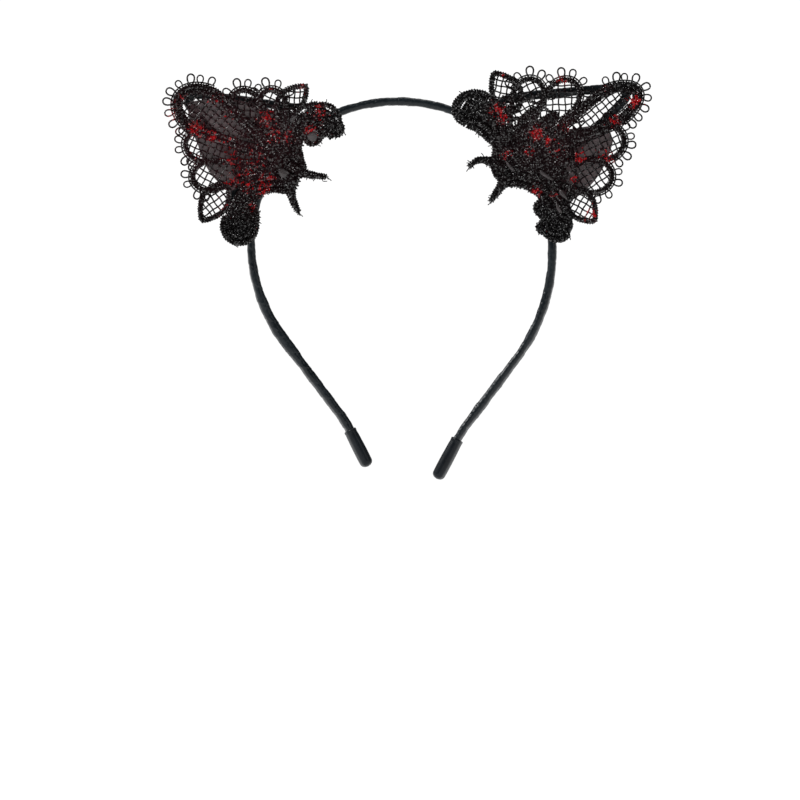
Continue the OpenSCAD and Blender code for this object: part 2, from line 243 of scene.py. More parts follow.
def frames_down(rows, twist):
    """Centres, directions across and directions deep for rings down a half, turned by a twist."""
    heading, zero = np.radians(rows[:, 3]), np.zeros(len(rows))
    out = np.stack([np.sin(heading), np.cos(heading), zero], 1)
    front = np.tile([0.0, 0.0, 1.0], (len(rows), 1))
    c, s = np.cos(twist)[:, None], np.sin(twist)[:, None]
    return np.stack([rows[:, 1], rows[:, 2], zero], 1), out * c + front * s, front * c - out * s


def stood_up(side, points):
    """Front-view points of one half, in mm, as row-frame points in metres."""
    points = np.asarray(points, float)
    mirror = -1.0 if side == "left" else 1.0
    return np.stack([mirror * points[..., 0], -points[..., 2], points[..., 1]], -1) * MM


def eased(value, low, high):
    t = np.clip((value - low) / (high - low), 0, 1)
    return t * t * (3 - 2 * t)


def skinned(name, rings, uvs, material):
    """A closed skin through rings of points, capped at its ends."""
    n, m = rings.shape[:2]
    faces, corners = [], []
    for i in range(n - 1):
        for k in range(m):
            a, b = i * m + k, i * m + (k + 1) % m
            faces.append((a, b, b + m, a + m))
            wrap = (k + 1) / m
            corners += [(uvs[i], k / m), (uvs[i], wrap), (uvs[i + 1], wrap), (uvs[i + 1], k / m)]
    faces += [tuple(range(m))[::-1], tuple((n - 1) * m + k for k in range(m))]
    corners += [(uvs[0], k / m) for k in range(m)] + [(uvs[n - 1], k / m) for k in range(m)]
    made = bpy.data.meshes.new(name)
    made.from_pydata(rings.reshape(-1, 3).tolist(), [], faces)
    layer = made.uv_layers.new(name="UVMap")
    layer.data.foreach_set("uv", np.array(corners, np.float32).ravel())
    shell = bmesh.new()
    shell.from_mesh(made)
    bmesh.ops.recalc_face_normals(shell, faces=shell.faces)
    shell.to_mesh(made)
    shell.free()
    made.shade_smooth()
    made.materials.append(material)
    return put(name, made)


def ranged(value, low, high, to_low=0.0, to_high=1.0):
    """A value mapped, within limits, from one range to another."""
    ends = {"From Min": low, "From Max": high, "To Min": to_low, "To Max": to_high}
    return add(value.id_data, "ShaderNodeMapRange", {"Value": value, **ends}).outputs[0]


# Polyester satin ribbon: tightly woven filament yarn with its floats along the ribbon, so it is
# nearly black with a cool sheen and soft highlights. The yarn is 0.1 mm in life; it is drawn at
# 0.3 mm, which is the finest that shows.
satin, shader, where = finish_named("black_polyester_satin", Specular_IOR_Level=0.3)
ribbon_uv = add(where.id_data, "ShaderNodeUVMap", uv_map="UVMap").outputs[0]
yarn = add(where.id_data, "ShaderNodeMapping", {"Vector": ribbon_uv, "Scale": (3.3, 40.0, 1.0)}).outputs[0]
cloud = noise(where, 70.0, 4.0)
folds = bump(noise(where, 420.0, 3.0), 0.5, 0.0004)
feed(shader, Base_Color=mixed(cloud, "#0b0f12", "#1b242a"), Roughness=ranged(cloud, 0.3, 0.7, 0.22, 0.44),
     Normal=bump(noise(yarn, 1.0, 1.0), 0.2, 0.00005, Normal=folds))


def wound_rings(run, centre, across, depth, half_across, half_depth, pitch, step, sides, rng, lumps=0.0):
    """Rings of an oval core with a ribbon lapped round it: every turn's edge stands a step proud.
    half_across has one value for each ring."""
    angle = np.arange(sides) * 2 * math.pi / sides
    c, s = np.cos(angle), np.sin(angle)
    half_across = np.asarray(half_across)[:, None]
    flat_run = np.maximum(0.0, half_depth - half_across)
    out = half_across * c
    deep = np.minimum(half_across, half_depth) * s + np.sign(s) * flat_run * np.minimum(1, np.abs(s) * 4)
    lap = (run[:, None] / pitch + angle[None] / (2 * math.pi)) % 1
    falling = 1 - LAP_SLOPE * (lap - LAP_EDGE) / (1 - LAP_EDGE)
    rise = step * np.where(lap < LAP_EDGE, lap / LAP_EDGE, falling) - step / 2
    waves = rng.uniform(0, 2 * math.pi, 6)
    swell = lumps * sum(np.sin(run * 2 * math.pi / p + w) for p, w in zip((11.3, 17.9, 29.0), waves))
    rise = rise + swell[:, None] + 0.03 * np.sin(angle * 3 + run[:, None] * 1.3 + waves[3])
    rise += 0.02 * np.sin(-angle * 2 + run[:, None] * 2.9 + waves[4])
    return (centre[:, None] + across[:, None] * (out + rise * c)[..., None]
            + depth[:, None] * (deep + rise * s)[..., None])


rng = np.random.default_rng(11)
for side in SIDES:
    rows = band_run(side, IN_CAP[side])
    run = rows[:, 0]
    centre, across, depth = frames_down(rows, np.radians(TWIST) * eased(run, 70, 130))
    signed = -run if side == "left" else run
    half = np.interp(rows[:, 2], *zip(*SWELLS[side]))
    half = np.convolve(np.pad(half, 20, "edge"), np.hanning(41) / np.hanning(41).sum(), "valid")
    rings = wound_rings(signed, centre, across, depth, half, BAND_W / 2, LAP_PITCH, LAP_STEP, 32, rng, 0.06)
    ribbon = skinned(f"{side}_satin_ribbon", stood_up(side, rings), run, satin)
    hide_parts(f"{side}_ribbon", *(["crown_ribbon"] if side == "left" else []))
    way = -MM if side == "left" else MM
    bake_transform(ribbon)


# ---- End caps ----------------------------------------------------------------------------------
# Both tips are dipped in liquid black PVC and cured, which seals the ribbon's ends. The skin is
# glossy, a little thicker towards the round tip, with a rolled lip where the dip stopped.
CAP_LENGTH = {"left": 16.0, "right": 17.5}
CAP_WALL = 0.7

# Dipped PVC: a smooth, soft plastic skin with wide highlights and faint sags from the dip.
dipped, shader, where = finish_named("dipped_black_pvc", Specular_IOR_Level=0.16, Coat_Weight=0.12,
                                     Coat_Roughness=0.08)
sag = noise(where, 260.0, 2.0)
feed(shader, Base_Color=mixed(sag, "#0c1014", "#171d23"), Normal=bump(sag, 0.3, 0.0004),
     Roughness=ranged(noise(where, 2400.0, 1.0), 0.3, 0.75, 0.36, 0.5))

for side in SIDES:
    whole = band_run(side, CAP_LENGTH[side], 0.25)
    mouth = whole[-1, 0] - CAP_LENGTH[side]
    rows = whole[whole[:, 0] >= mouth - 1e-6]
    run = rows[:, 0] - mouth
    thick = BAND_T / 2 + CAP_WALL
    left_over = CAP_LENGTH[side] - run
    dome = np.sqrt(np.clip(1 - (np.clip(thick - left_over, 0, thick) / thick) ** 2, 0.0004, 1))
    lip = 0.07 * np.exp(-((run - 0.55) / 0.42) ** 2) - 0.05 * np.exp(-((run - 1.9) / 0.8) ** 2)
    draw_in = np.where(run < 0.35, 0.55 + 0.45 * np.sqrt(np.clip(run / 0.35, 0, 1)), 1.0)
    swelling = 1 + 0.08 * np.sin(math.pi * np.clip(run / CAP_LENGTH[side], 0, 1) ** 1.5)
    r = (thick * swelling + lip) * dome * draw_in
    angle = np.arange(40) * 2 * math.pi / 40
    c, s = np.cos(angle), np.sin(angle)
    flat_run = (BAND_W - BAND_T) / 2 * np.clip(dome * 1.2, 0, 1)
    wrinkle = 1 + 0.012 * np.sin(5 * angle[None] + 1.7 * run[:, None]) * np.exp(-run[:, None] / 4)
    out = r[:, None] * c[None] * wrinkle
    flank = np.sign(s) * np.minimum(1, np.abs(s) * 4)
    deep = r[:, None] * s[None] * wrinkle + flat_run[:, None] * flank[None]
    centre, across, depth = frames_down(rows, np.full(len(run), math.radians(TWIST)))
    rings = centre[:, None] + across[:, None] * out[..., None] + depth[:, None] * deep[..., None]
    cap = skinned(f"{side}_dipped_cap", stood_up(side, rings), run, dipped)
    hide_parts(f"{side}_end_cap")
    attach(cap, f"{side}_half")


# ---- Ear wires and their wrapping --------------------------------------------------------------
# Each ear is stretched on a loop of 1.2 mm black florist's wire, bound edge to edge in a narrow
# satin ribbon that flattens to about 3.5 mm. The loop's two feet are the pins that the ear turns on.
WIRE_Z = 3.6
LEAN = 7
LASHES = {"left": ((30.568, -6.700), (56.551, -48.281)), "right": ((31.526, -7.117), (59.089, -48.760))}
PIN_HALF, FOOT_BEND = 3.0, 2.2
WIRE_CORNERS = {  # x, y, bend radius
    "left": [(43, -0.8, 30), (85.5, 5, 3), (60, -24, 8), (66.4, -46, 3)],
    "right": [(46, 3, 30), (93, 7.2, 3), (62, -24, 8), (66.8, -47, 3)],
}

# Enamelled wire: a thin glossy black varnish over steel.
enamel, shader, where = finish_named("enamelled_florist_wire", Roughness=0.3, Coat_Weight=0.4)
worn = ranged(noise(where, 900.0, 2.0), 0.66, 0.7)
feed(shader, Base_Color=mixed(worn, "#141416", "#55585c"))
for side in SIDES:
    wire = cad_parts[f"{side}_ear_wire"]
    wire.data.materials.clear()
    wire.data.materials.append(enamel)


def leaned(side, points):
    """Front-view points of an ear as it is laid flat, tipped forward about its two lashings."""
    (ax, ay), (bx, by) = LASHES[side]
    pivot = np.array([ax, ay, WIRE_Z])
    axis = np.array([bx - ax, by - ay, 0.0])
    axis /= np.linalg.norm(axis)
    v = np.asarray(points, float) - pivot
    c, s = math.cos(math.radians(LEAN)), math.sin(math.radians(LEAN))
    turned = v * c + np.cross(axis, v) * s + (v @ axis)[..., None] * axis * (1 - c)
    return stood_up(side, turned + pivot)


def unit(v):
    return v / np.linalg.norm(v)


def filleted(corners, step):
    """A polyline through corners (x, y, bend radius), with the bends rounded, resampled evenly."""
    points = [np.array(corners[0][:2], float)]
    for before, at, after in zip(corners, corners[1:], corners[2:]):
        c, radius = np.array(at[:2], float), at[2]
        u, v = unit(np.array(before[:2]) - c), unit(np.array(after[:2]) - c)
        half = math.acos(np.clip(u @ v, -1, 1)) / 2
        if radius <= 0 or half > 1.56:
            points.append(c)
            continue
        middle = c + unit(u + v) * radius / math.sin(half)
        start, end = c + u * radius / math.tan(half), c + v * radius / math.tan(half)
        a = start - middle
        sweep_angle = math.pi - 2 * half
        sense = math.copysign(1, a[0] * (end - middle)[1] - a[1] * (end - middle)[0])
        for t in np.linspace(0, sense * sweep_angle, max(3, int(sweep_angle * radius / 0.6))):
            points.append(middle + [a[0] * math.cos(t) - a[1] * math.sin(t),
                                    a[0] * math.sin(t) + a[1] * math.cos(t)])
    points.append(np.array(corners[-1][:2], float))
    return evenly(np.array(points), step)


def evenly(points, step):
    """Points a step apart along a polyline."""
    gaps = np.linalg.norm(np.diff(points, axis=0), axis=1)
    length = np.concatenate([[0], np.cumsum(gaps)])
    count = max(2, int(round(length[-1] / step)) + 1)
    at = np.linspace(0, length[-1], count)
    return np.stack([np.interp(at, length, points[:, k]) for k in range(points.shape[1])], 1)


def wire_corners(side):
    """The corners of an ear's wire with a hooked foot at each lashing, where the wrapping ends."""
    a, b = (np.array(p) for p in LASHES[side])
    axis = unit(b - a)
    loop = WIRE_CORNERS[side]
    ends = []
    for point, sense, following in ((a, -1, loop[0]), (b, 1, loop[-1])):
        far = point + sense * axis * (PIN_HALF + 4)
        turned = math.acos(np.clip(unit(sense * axis) @ unit(np.array(following[:2]) - far), -1, 1))
        bend = point + sense * axis * (PIN_HALF + FOOT_BEND * math.tan(turned / 2) + 0.2)
        ends.append([(*(point + sense * axis * (PIN_HALF + 0.05)), 0), (*bend, FOOT_BEND)])
    return [*ends[0], *loop, *ends[1][::-1]]


# The same satin as the band's, cut 5 mm wide and wound at a steep angle.
WRAP_PITCH, WRAP_HALF, FOOT_HALF = 3.6, 1.7, 0.95
wire_lines = {}
for side in SIDES:
    line = filleted(wire_corners(side), 0.22)
    wire_lines[side] = line
    run = np.concatenate([[0], np.cumsum(np.linalg.norm(np.diff(line, axis=0), axis=1))])
    ahead = np.gradient(line, axis=0)
    ahead /= np.linalg.norm(ahead, axis=1)[:, None]
    across = np.stack([ahead[:, 1], -ahead[:, 0], np.zeros(len(run))], 1)
    depth = np.tile([0.0, 0.0, 1.0], (len(run), 1))
    centre = np.stack([line[:, 0], line[:, 1], np.full(len(run), WIRE_Z)], 1)
    near_foot = np.min([np.linalg.norm(line - np.array(p), axis=1) for p in LASHES[side]], axis=0)
    half = FOOT_HALF + (WRAP_HALF - FOOT_HALF) * eased(near_foot, 7, 17)
    rings = wound_rings(run, centre, across, depth, half, 0.96, WRAP_PITCH, 0.18, 28, rng, 0.04)
    wrap = skinned(f"{side}_wire_wrapping", leaned(side, rings), run, satin)
    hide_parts(f"{side}_wire_wrap")
    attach(wrap, f"{side}_ear")


# ---- Lace fans ---------------------------------------------------------------------------------
# Each ear is one guipure lace motif: seven petals of thick satin-stitched cord fan out from a
# root, with a netted ground and a running edge of small loops. It was machine embroidered in
# black rayon on a film that is then washed away, and splashed with red fabric paint.
ROOT = {"left": (41.5, -22.5), "right": (41.5, -25.0)}
LACE_Z, LACE_CURL, CURL_FROM = 6.1, 8.0, 30.5
PETALS = {  # rounded petals as (direction, reach, half-angle, length of the rounded end, net angle)
    "left": [(72, 29.5, 12.5, 6, 45), (51.5, 34.5, 11.5, 7, 45), (30.5, 51, 13.5, 13, 8),
             (11, 41.5, 10, 7.5, 10), (-9, 38.5, 10.5, 7.5, 40)],
    "right": [(71.5, 36.5, 12, 7.5, 45), (51, 43, 10, 8, 40), (30.5, 60, 9, 14, 8),
              (15, 47.5, 9.5, 8, 10), (-4, 41.5, 11, 8, 38)],
}
LEAVES = {  # pointed leaves as (base, tip, half-width, net angle)
    "left": [((47, -4), (35.9, 7.1), 4.6, 45), ((66.5, -30.5), (76.2, -44.5), 5.0, 20)],
    "right": [((46.5, -2), (37.6, 12.2), 5.4, 45), ((66.5, -33.5), (76.3, -44.8), 5.0, 20)],
}
PICOTS = {"left": (5, 6, 9, 7, 6), "right": (6, 6, 9, 7, 6)}
CORD_HALF, NET_STEP, EDGE_GAP = 1.0, 2.4, 1.5
LONGEST = 2  # the petal that has a second cord inside its first
VEIL, GROUND = {"left": 0.4, "right": 0.6}, {"left": 0.85, "right": 0.8}  # shares of the petals' reach
FESTOONS = {"left": ((13, 1.1), (20, 1.6)), "right": ((13, 1.1), (20, 1.6), (27, 1.4))}
HEARTS = {  # solid leaves inside the petals as (direction, near, far, half-width)
    "left": [(73, 9, 19, 2.2), (52, 12, 21, 2.2), (-9, 10, 22, 2.6)],
    "right": [(64, 12, 27, 2.8), (47, 13, 30, 3.0), (-4, 10, 24, 2.6), (15, 12, 27, 2.4)],
}


def on_lace(side, points, lift=0.0):
    """Front-view (x, y) points on the lace's curled surface, in metres in the row frame."""
    points = np.asarray(points, float)
    offset = points - np.array(ROOT[side])
    r2 = (offset ** 2).sum(-1)
    a = np.arctan2(offset[..., 1], offset[..., 0]) - math.radians(CURL_FROM)
    z = LACE_Z + LACE_CURL * r2 / 2500 * np.sin(a) ** 2 + lift
    return leaned(side, np.concatenate([points, z[..., None]], -1))


def from_root(side, a, r):
    a = math.radians(a)
    return np.array([ROOT[side][0] + r * math.cos(a), ROOT[side][1] + r * math.sin(a)])


def through(points, step=0.5):
    """A smooth curve through a few points, sampled evenly."""
    p = np.array([points[0], *points, points[-1]], float)
    curve = []
    for i in range(1, len(p) - 2):
        for t in np.linspace(0, 1, 12, endpoint=False):
            curve.append(0.5 * (2 * p[i] + (p[i + 1] - p[i - 1]) * t
                                + (2 * p[i - 1] - 5 * p[i] + 4 * p[i + 1] - p[i + 2]) * t ** 2
                                + (3 * p[i] - p[i - 1] - 3 * p[i + 1] + p[i + 2]) * t ** 3))
    curve.append(p[-2])
    return evenly(np.array(curve), step)


def arc(centre, r, start, end, step=0.5):
    a = np.radians(np.linspace(start, end, max(6, int(abs(end - start) / 180 * math.pi * r / step))))
    return np.stack([centre[0] + r * np.cos(a), centre[1] + r * np.sin(a)], 1)


def petal_end(petal, grow, half_turn, count):
    """The rounded end of a petal that points along +X, from its left side to its right."""
    _, reach, half, rounded, _ = petal
    a = np.radians(np.linspace(half_turn, -half_turn, count))
    wide = (reach - rounded) * math.tan(math.radians(half)) + grow
    return np.stack([reach - rounded + (rounded + grow) * np.cos(a), wide * np.sin(a)], 1)


def turned_to(side, petal, points):
    """Points of a petal that points along +X, moved to where it stands on the ear."""
    c, s = math.cos(math.radians(petal[0])), math.sin(math.radians(petal[0]))
    return np.array(ROOT[side]) + points @ np.array([[c, s], [-s, c]])


def petal_outline(side, petal, grow=0.0):
    """A petal's edge from its left foot round the rounded end to its right foot."""
    _, reach, half, rounded, _ = petal
    run = np.linspace(9, reach - rounded, 30)
    left = np.stack([run, run * math.tan(math.radians(half)) + grow], 1)
    local = np.concatenate([left, petal_end(petal, grow, 88, 46), left[::-1] * [1, -1]])
    return evenly(turned_to(side, petal, local), 0.5)


def leaf_outline(leaf, grow=0.0):
    base, tip, half, _ = leaf
    base, tip = np.array(base, float), np.array(tip, float)
    u = unit(tip - base)
    v = np.array([-u[1], u[0]])
    t = np.linspace(0, 1, 24)
    wide = (half + grow) * np.sin(math.pi * t ** 0.9) ** 0.85
    along = base + (tip - base) * t[:, None] + u * grow * t[:, None]
    return evenly(np.concatenate([along + v * wide[:, None], (along - v * wide[:, None])[::-1]]), 0.5)


def inside(points, outline):
    """Which points lie inside a closed outline."""
    x, y = points[:, 0][:, None], points[:, 1][:, None]
    ax, ay = outline[:, 0][None], outline[:, 1][None]
    bx, by = np.roll(ax, -1), np.roll(ay, -1)
    crosses = ((ay > y) != (by > y)) & (x < (bx - ax) * (y - ay) / (by - ay + 1e-12) + ax)
    return crosses.sum(1) % 2 == 1


def rows_across(outline, angle, step, rng, jitter=0.14, only=None):
    """Side by side threads at an angle, clipped to an outline, as (x, y) polylines. "only" is a
    test that the kept points must pass as well."""
    middle = outline.mean(0)
    radius = np.linalg.norm(outline - middle, axis=1).max()
    a = math.radians(angle)
    u, v = np.array([math.cos(a), math.sin(a)]), np.array([-math.sin(a), math.cos(a)])
    runs = []
    for offset in np.arange(-radius, radius, step):
        shift = offset + rng.normal(0, jitter)
        t = np.arange(-radius, radius, 0.4)
        wave = 0.12 * np.sin(t * 1.1 + rng.uniform(0, 6.3))
        p = middle + t[:, None] * u + (shift + wave)[:, None] * v
        keep = inside(p, outline)
        if only:
            keep &= only(p)
        edges = np.flatnonzero(np.diff(np.concatenate([[0], keep.astype(int), [0]])))
        runs += [p[i:j] for i, j in zip(edges[::2], edges[1::2]) if j - i > 3]
    return runs


def netting(outline, angle, step, rng, jitter=0.14, only=None):
    """Two sets of crossing threads."""
    return [run for turned in (angle, angle + 90)
            for run in rows_across(outline, turned, step, rng, jitter, only)]


def pattern(name, sizes):
    """An empty Geometry Nodes tree with a mesh in and out, a material and these named sizes."""
    made = bpy.data.node_groups.new(name, "GeometryNodeTree")
    made.interface.new_socket("Geometry", in_out="OUTPUT", socket_type="NodeSocketGeometry")
    for key, kind in [("Geometry",) * 2, ("Material",) * 2, *((size, "Float") for size in sizes)]:
        made.interface.new_socket(key, in_out="INPUT", socket_type="NodeSocket" + kind)
    return made, add(made, "NodeGroupInput").outputs


def closed_off(tree, geometry, material):
    """Ends a tree: real geometry, smooth, in its material."""
    real = add(tree, "GeometryNodeRealizeInstances", {0: geometry})
    smooth = add(tree, "GeometryNodeSetShadeSmooth", {0: real.outputs[0]})
    done = add(tree, "GeometryNodeSetMaterial", {"Geometry": smooth.outputs[0], "Material": material})
    add(tree, "NodeGroupOutput", {0: done.outputs[0]})


def worked(name, tree, sizes, material, lines, **attributes):
    """Runs a tree on polylines (or single points) and keeps the result as a plain mesh object."""
    counts = [len(line) for line in lines]
    starts = np.concatenate([[0], np.cumsum(counts)])
    edges = [(starts[i] + k, starts[i] + k + 1) for i, n in enumerate(counts) for k in range(n - 1)]
    base = bpy.data.meshes.new(name + "_lines")
    base.from_pydata(np.concatenate(lines).tolist(), edges, [])
    for key, rows in attributes.items():
        values = np.concatenate([np.asarray(r, np.float32) for r in rows])
        vector = values.ndim == 2
        layer = base.attributes.new(key, "FLOAT_VECTOR" if vector else "FLOAT", "POINT")
        layer.data.foreach_set("vector" if vector else "value", values.ravel())
    source = put(name + "_lines", base)
    modifier = source.modifiers.new("work", "NODES")
    modifier.node_group = tree
    ids = {item.name: item.identifier for item in tree.interface.items_tree if item.in_out == "INPUT"}
    modifier[ids["Material"]] = material
    for key, value in sizes.items():
        modifier[ids[key]] = float(value)
    evaluated = source.evaluated_get(bpy.context.evaluated_depsgraph_get())
    result = bpy.data.meshes.new_from_object(evaluated)
    source.modifiers.remove(modifier)
    bpy.data.objects.remove(source)
    result.name = name
    return put(name, result)


def maths(tree, operation, *values):
    """One step of arithmetic in a tree."""
    return add(tree, "ShaderNodeMath", dict(enumerate(values)), operation=operation).outputs[0]


def swept(tree, curve, radius, **more):
    """A five-sided thread along a curve."""
    ring = add(tree, "GeometryNodeCurvePrimitiveCircle", {"Resolution": 5, "Radius": radius}).outputs[0]
    return add(tree, "GeometryNodeCurveToMesh", {"Curve": curve, "Profile Curve": ring, **more}).outputs[0]


# Satin-stitched cord: a flattened core, with thread wound closely round it from end to end.
tree, given = pattern("satin_cord", ("Thread", "Pitch", "Flatness"))
satin_cord = tree
curves = add(tree, "GeometryNodeMeshToCurve", {"Mesh": given["Geometry"]}).outputs[0]
fine_step = maths(tree, "DIVIDE", given["Pitch"], 8.0)
fine = add(tree, "GeometryNodeResampleCurve", {"Curve": curves, "Length": fine_step}, mode="LENGTH")
girth = add(tree, "GeometryNodeInputNamedAttribute", {"Name": "girth"}, data_type="FLOAT").outputs[0]
ahead = add(tree, "GeometryNodeInputTangent").outputs[0]
across = add(tree, "ShaderNodeVectorMath", {0: ahead, 1: (0.0, -1.0, 0.0)}, operation="CROSS_PRODUCT")
across = add(tree, "ShaderNodeVectorMath", {0: across.outputs[0]}, operation="NORMALIZE").outputs[0]
facing = add(tree, "ShaderNodeVectorMath", {0: across, 1: ahead}, operation="CROSS_PRODUCT").outputs[0]
length = add(tree, "GeometryNodeSplineParameter").outputs["Length"]
angle = maths(tree, "MULTIPLY", maths(tree, "DIVIDE", length, given["Pitch"]), 2 * math.pi)
wide = maths(tree, "MULTIPLY", maths(tree, "COSINE", angle), girth)
tall = maths(tree, "MULTIPLY", maths(tree, "SINE", angle), girth)
tall = maths(tree, "MULTIPLY", tall, given["Flatness"])
offset = add(tree, "ShaderNodeVectorMath", {0: across, "Scale": wide}, operation="SCALE").outputs[0]
upward = add(tree, "ShaderNodeVectorMath", {0: facing, "Scale": tall}, operation="SCALE").outputs[0]
offset = add(tree, "ShaderNodeVectorMath", {0: offset, 1: upward}).outputs[0]
winding = add(tree, "GeometryNodeSetPosition", {"Geometry": fine.outputs[0], "Offset": offset}).outputs[0]
thread = swept(tree, winding, given["Thread"], **{"Fill Caps": True})
coarse = add(tree, "GeometryNodeResampleCurve", {"Curve": curves, "Length": given["Pitch"]}, mode="LENGTH")
level = add(tree, "GeometryNodeSetCurveNormal", {"Curve": coarse.outputs[0], "Normal": facing}, mode="FREE")
core_ring = add(tree, "GeometryNodeCurvePrimitiveCircle", {"Resolution": 10, "Radius": 1.0})
core_size = add(tree, "ShaderNodeCombineXYZ", {0: given["Flatness"], 1: 1.0, 2: 1.0}).outputs[0]
core_oval = add(tree, "GeometryNodeTransform", {"Geometry": core_ring.outputs[0], "Scale": core_size})
core = add(tree, "GeometryNodeCurveToMesh", {"Curve": level.outputs[0], "Fill Caps": True, "Scale": girth,
                                             "Profile Curve": core_oval.outputs[0]})
both = add(tree, "GeometryNodeJoinGeometry", {0: core.outputs[0]})
tree.links.new(thread, both.inputs[0])
closed_off(tree, both.outputs[0], given["Material"])

# A single thread along each line, for the netting, lashings and loose ends.
tree, given = pattern("thread_run", ("Thread",))
thread_run = tree
curves = add(tree, "GeometryNodeMeshToCurve", {"Mesh": given["Geometry"]}).outputs[0]
closed_off(tree, swept(tree, curves, given["Thread"], **{"Fill Caps": True}), given["Material"])

# Closed thread loops that stand on points: the lace's edging, and the stitches round the wire.
tree, given = pattern("thread_loops", ("Thread", "Width", "Height", "Sway", "Spread"))
thread_loops = tree
circle = add(tree, "GeometryNodeCurvePrimitiveCircle", {"Resolution": 16, "Radius": 1.0}).outputs[0]
at = add(tree, "ShaderNodeSeparateXYZ", {0: add(tree, "GeometryNodeInputPosition").outputs[0]}).outputs
waist = maths(tree, "MULTIPLY_ADD", at[1], 0.26, 0.78)
half = maths(tree, "MULTIPLY", given["Width"], 0.5)
wide = maths(tree, "MULTIPLY", maths(tree, "MULTIPLY", at[0], waist), half)
half = maths(tree, "MULTIPLY", given["Height"], 0.5)
high = maths(tree, "MULTIPLY_ADD", at[1], half, half)
shaped = add(tree, "ShaderNodeCombineXYZ", {0: wide, 1: high, 2: 0.0}).outputs[0]
loop = add(tree, "GeometryNodeSetPosition", {"Geometry": circle, "Position": shaped}).outputs[0]
loop_mesh = swept(tree, loop, given["Thread"])
outward, facing = (add(tree, "GeometryNodeInputNamedAttribute", {"Name": key},
                       data_type="FLOAT_VECTOR").outputs[0] for key in ("outward", "facing"))
aim = add(tree, "FunctionNodeAxesToRotation", {0: outward, 1: facing}, primary_axis="Y", secondary_axis="Z")
less = maths(tree, "MULTIPLY", given["Sway"], -1.0)
sway = add(tree, "FunctionNodeRandomValue", {2: less, 3: given["Sway"], "Seed": 5}, data_type="FLOAT")
spin = add(tree, "ShaderNodeCombineXYZ", {0: 0.0, 1: 0.0, 2: sway.outputs[1]})
lean = add(tree, "FunctionNodeEulerToRotation", {0: spin.outputs[0]})
turned = add(tree, "FunctionNodeRotateRotation", {0: aim.outputs[0], 1: lean.outputs[0]},
             rotation_space="LOCAL")
small, large = (maths(tree, change, 1.0, given["Spread"]) for change in ("SUBTRACT", "ADD"))
grown = add(tree, "FunctionNodeRandomValue", {2: small, 3: large, "Seed": 9}, data_type="FLOAT")
placed = add(tree, "GeometryNodeInstanceOnPoints", {"Points": given["Geometry"], "Instance": loop_mesh,
                                                    "Rotation": turned.outputs[0], "Scale": grown.outputs[1]})
closed_off(tree, placed.outputs[0], given["Material"])

# Rayon embroidery thread: twisted filament, black with a soft shine, that holds the paint as
# flecks on its ridges. "paint" on each point says how much landed there, and "wash" how much
# thinned paint soaked in. Fleck size is about 0.8 mm, and the filament twist 0.35 mm.
rayon, shader, where = finish_named("painted_rayon_thread")
tree = where.id_data
paint, wash = (add(tree, "ShaderNodeAttribute", attribute_name=key).outputs["Fac"]
               for key in ("paint", "wash"))
cover = ranged(paint, 0.0, 1.0, 0.74, 0.37)
red_part = ranged(maths(tree, "SUBTRACT", noise(where, 800.0, 3.0, 0.6), cover), 0.0, 0.1)
red = mixed(ranged(noise(where, 1900.0, 2.0), 0.38, 0.62), "#4d080b", "#d0161d")
base = mixed(maths(tree, "MULTIPLY", noise(where, 330.0, 3.0), wash), "#050405", "#3c151b")
# The filament lies smooth only in places: there it is glossy, elsewhere it is dull and fuzzy.
lie = noise(where, 1300.0, 1.0)
feed(shader, Base_Color=mixed(red_part, base, red), Normal=bump(noise(where, 2900.0, 1.0), 0.5, 0.0001),
     Roughness=ranged(lie, 0.5, 0.62, 0.5, 0.14), Specular_IOR_Level=ranged(lie, 0.5, 0.62, 0.05, 1.2))

SPLASHES = {  # x, y, radius and amount
    "left": [(77.3, -9.8, 4, 1.0), (71.3, -13.1, 3.5, 0.9), (64.3, -20.7, 5, 0.75), (63.2, -28.8, 5, 0.75),
             (58.9, -25.5, 4.5, 0.7), (50.7, -5.5, 4, 0.8), (48, -12, 5, 0.65), (42.6, -12.5, 3.5, 0.7),
             (30.7, -3.3, 4.5, 0.7), (33.4, -10.4, 3.5, 0.9), (36.7, 5.9, 3, 0.6), (70.8, 1.5, 4, 0.6),
             (87, -4, 4, 0.7), (85, -11, 4, 0.5), (55, -21, 6, 0.6), (66, -14, 6, 0.5), (52, -33, 4, 0.8),
             (68.5, -40, 4, 0.45), (79.5, -38, 3, 0.5),
             (86, -0.1, 3.5, 0.5), (83.2, 1.5, 3.5, 0.5), (50.7, -29.3, 4, 0.8), (57.8, -32, 4, 0.7),
             (48.6, 6.4, 3, 0.45), (65.4, -4.4, 4, 0.55), (56.7, -39.6, 3, 0.5), (78, -20, 5, 0.4)],
    "right": [(90.5, 0.5, 3.5, 1.0), (83.4, -6.6, 3, 0.85), (53.6, -12, 3.5, 1.0), (58, -14.2, 3.5, 0.8),
              (64.5, -8.7, 3, 0.7), (50.4, -19, 4, 0.6), (41.7, -19.6, 3, 0.7), (70.4, -20.1, 3, 1.0),
              (80.2, -20.1, 4, 0.75), (38.5, -2.2, 3.5, 0.9), (40.1, -5.5, 3, 0.9), (63.4, 8.6, 3, 0.8),
              (40.1, 11.3, 2.5, 0.6), (53.1, -33.7, 2.5, 1.0), (60.7, -35.3, 3, 0.5), (74.2, -42.3, 4, 0.75),
              (79.7, 6.4, 2.5, 0.5), (67.7, -29.3, 2.5, 0.7), (62, -18, 5, 0.5)],
}
WASH = {"left": 0.75, "right": 0.3}


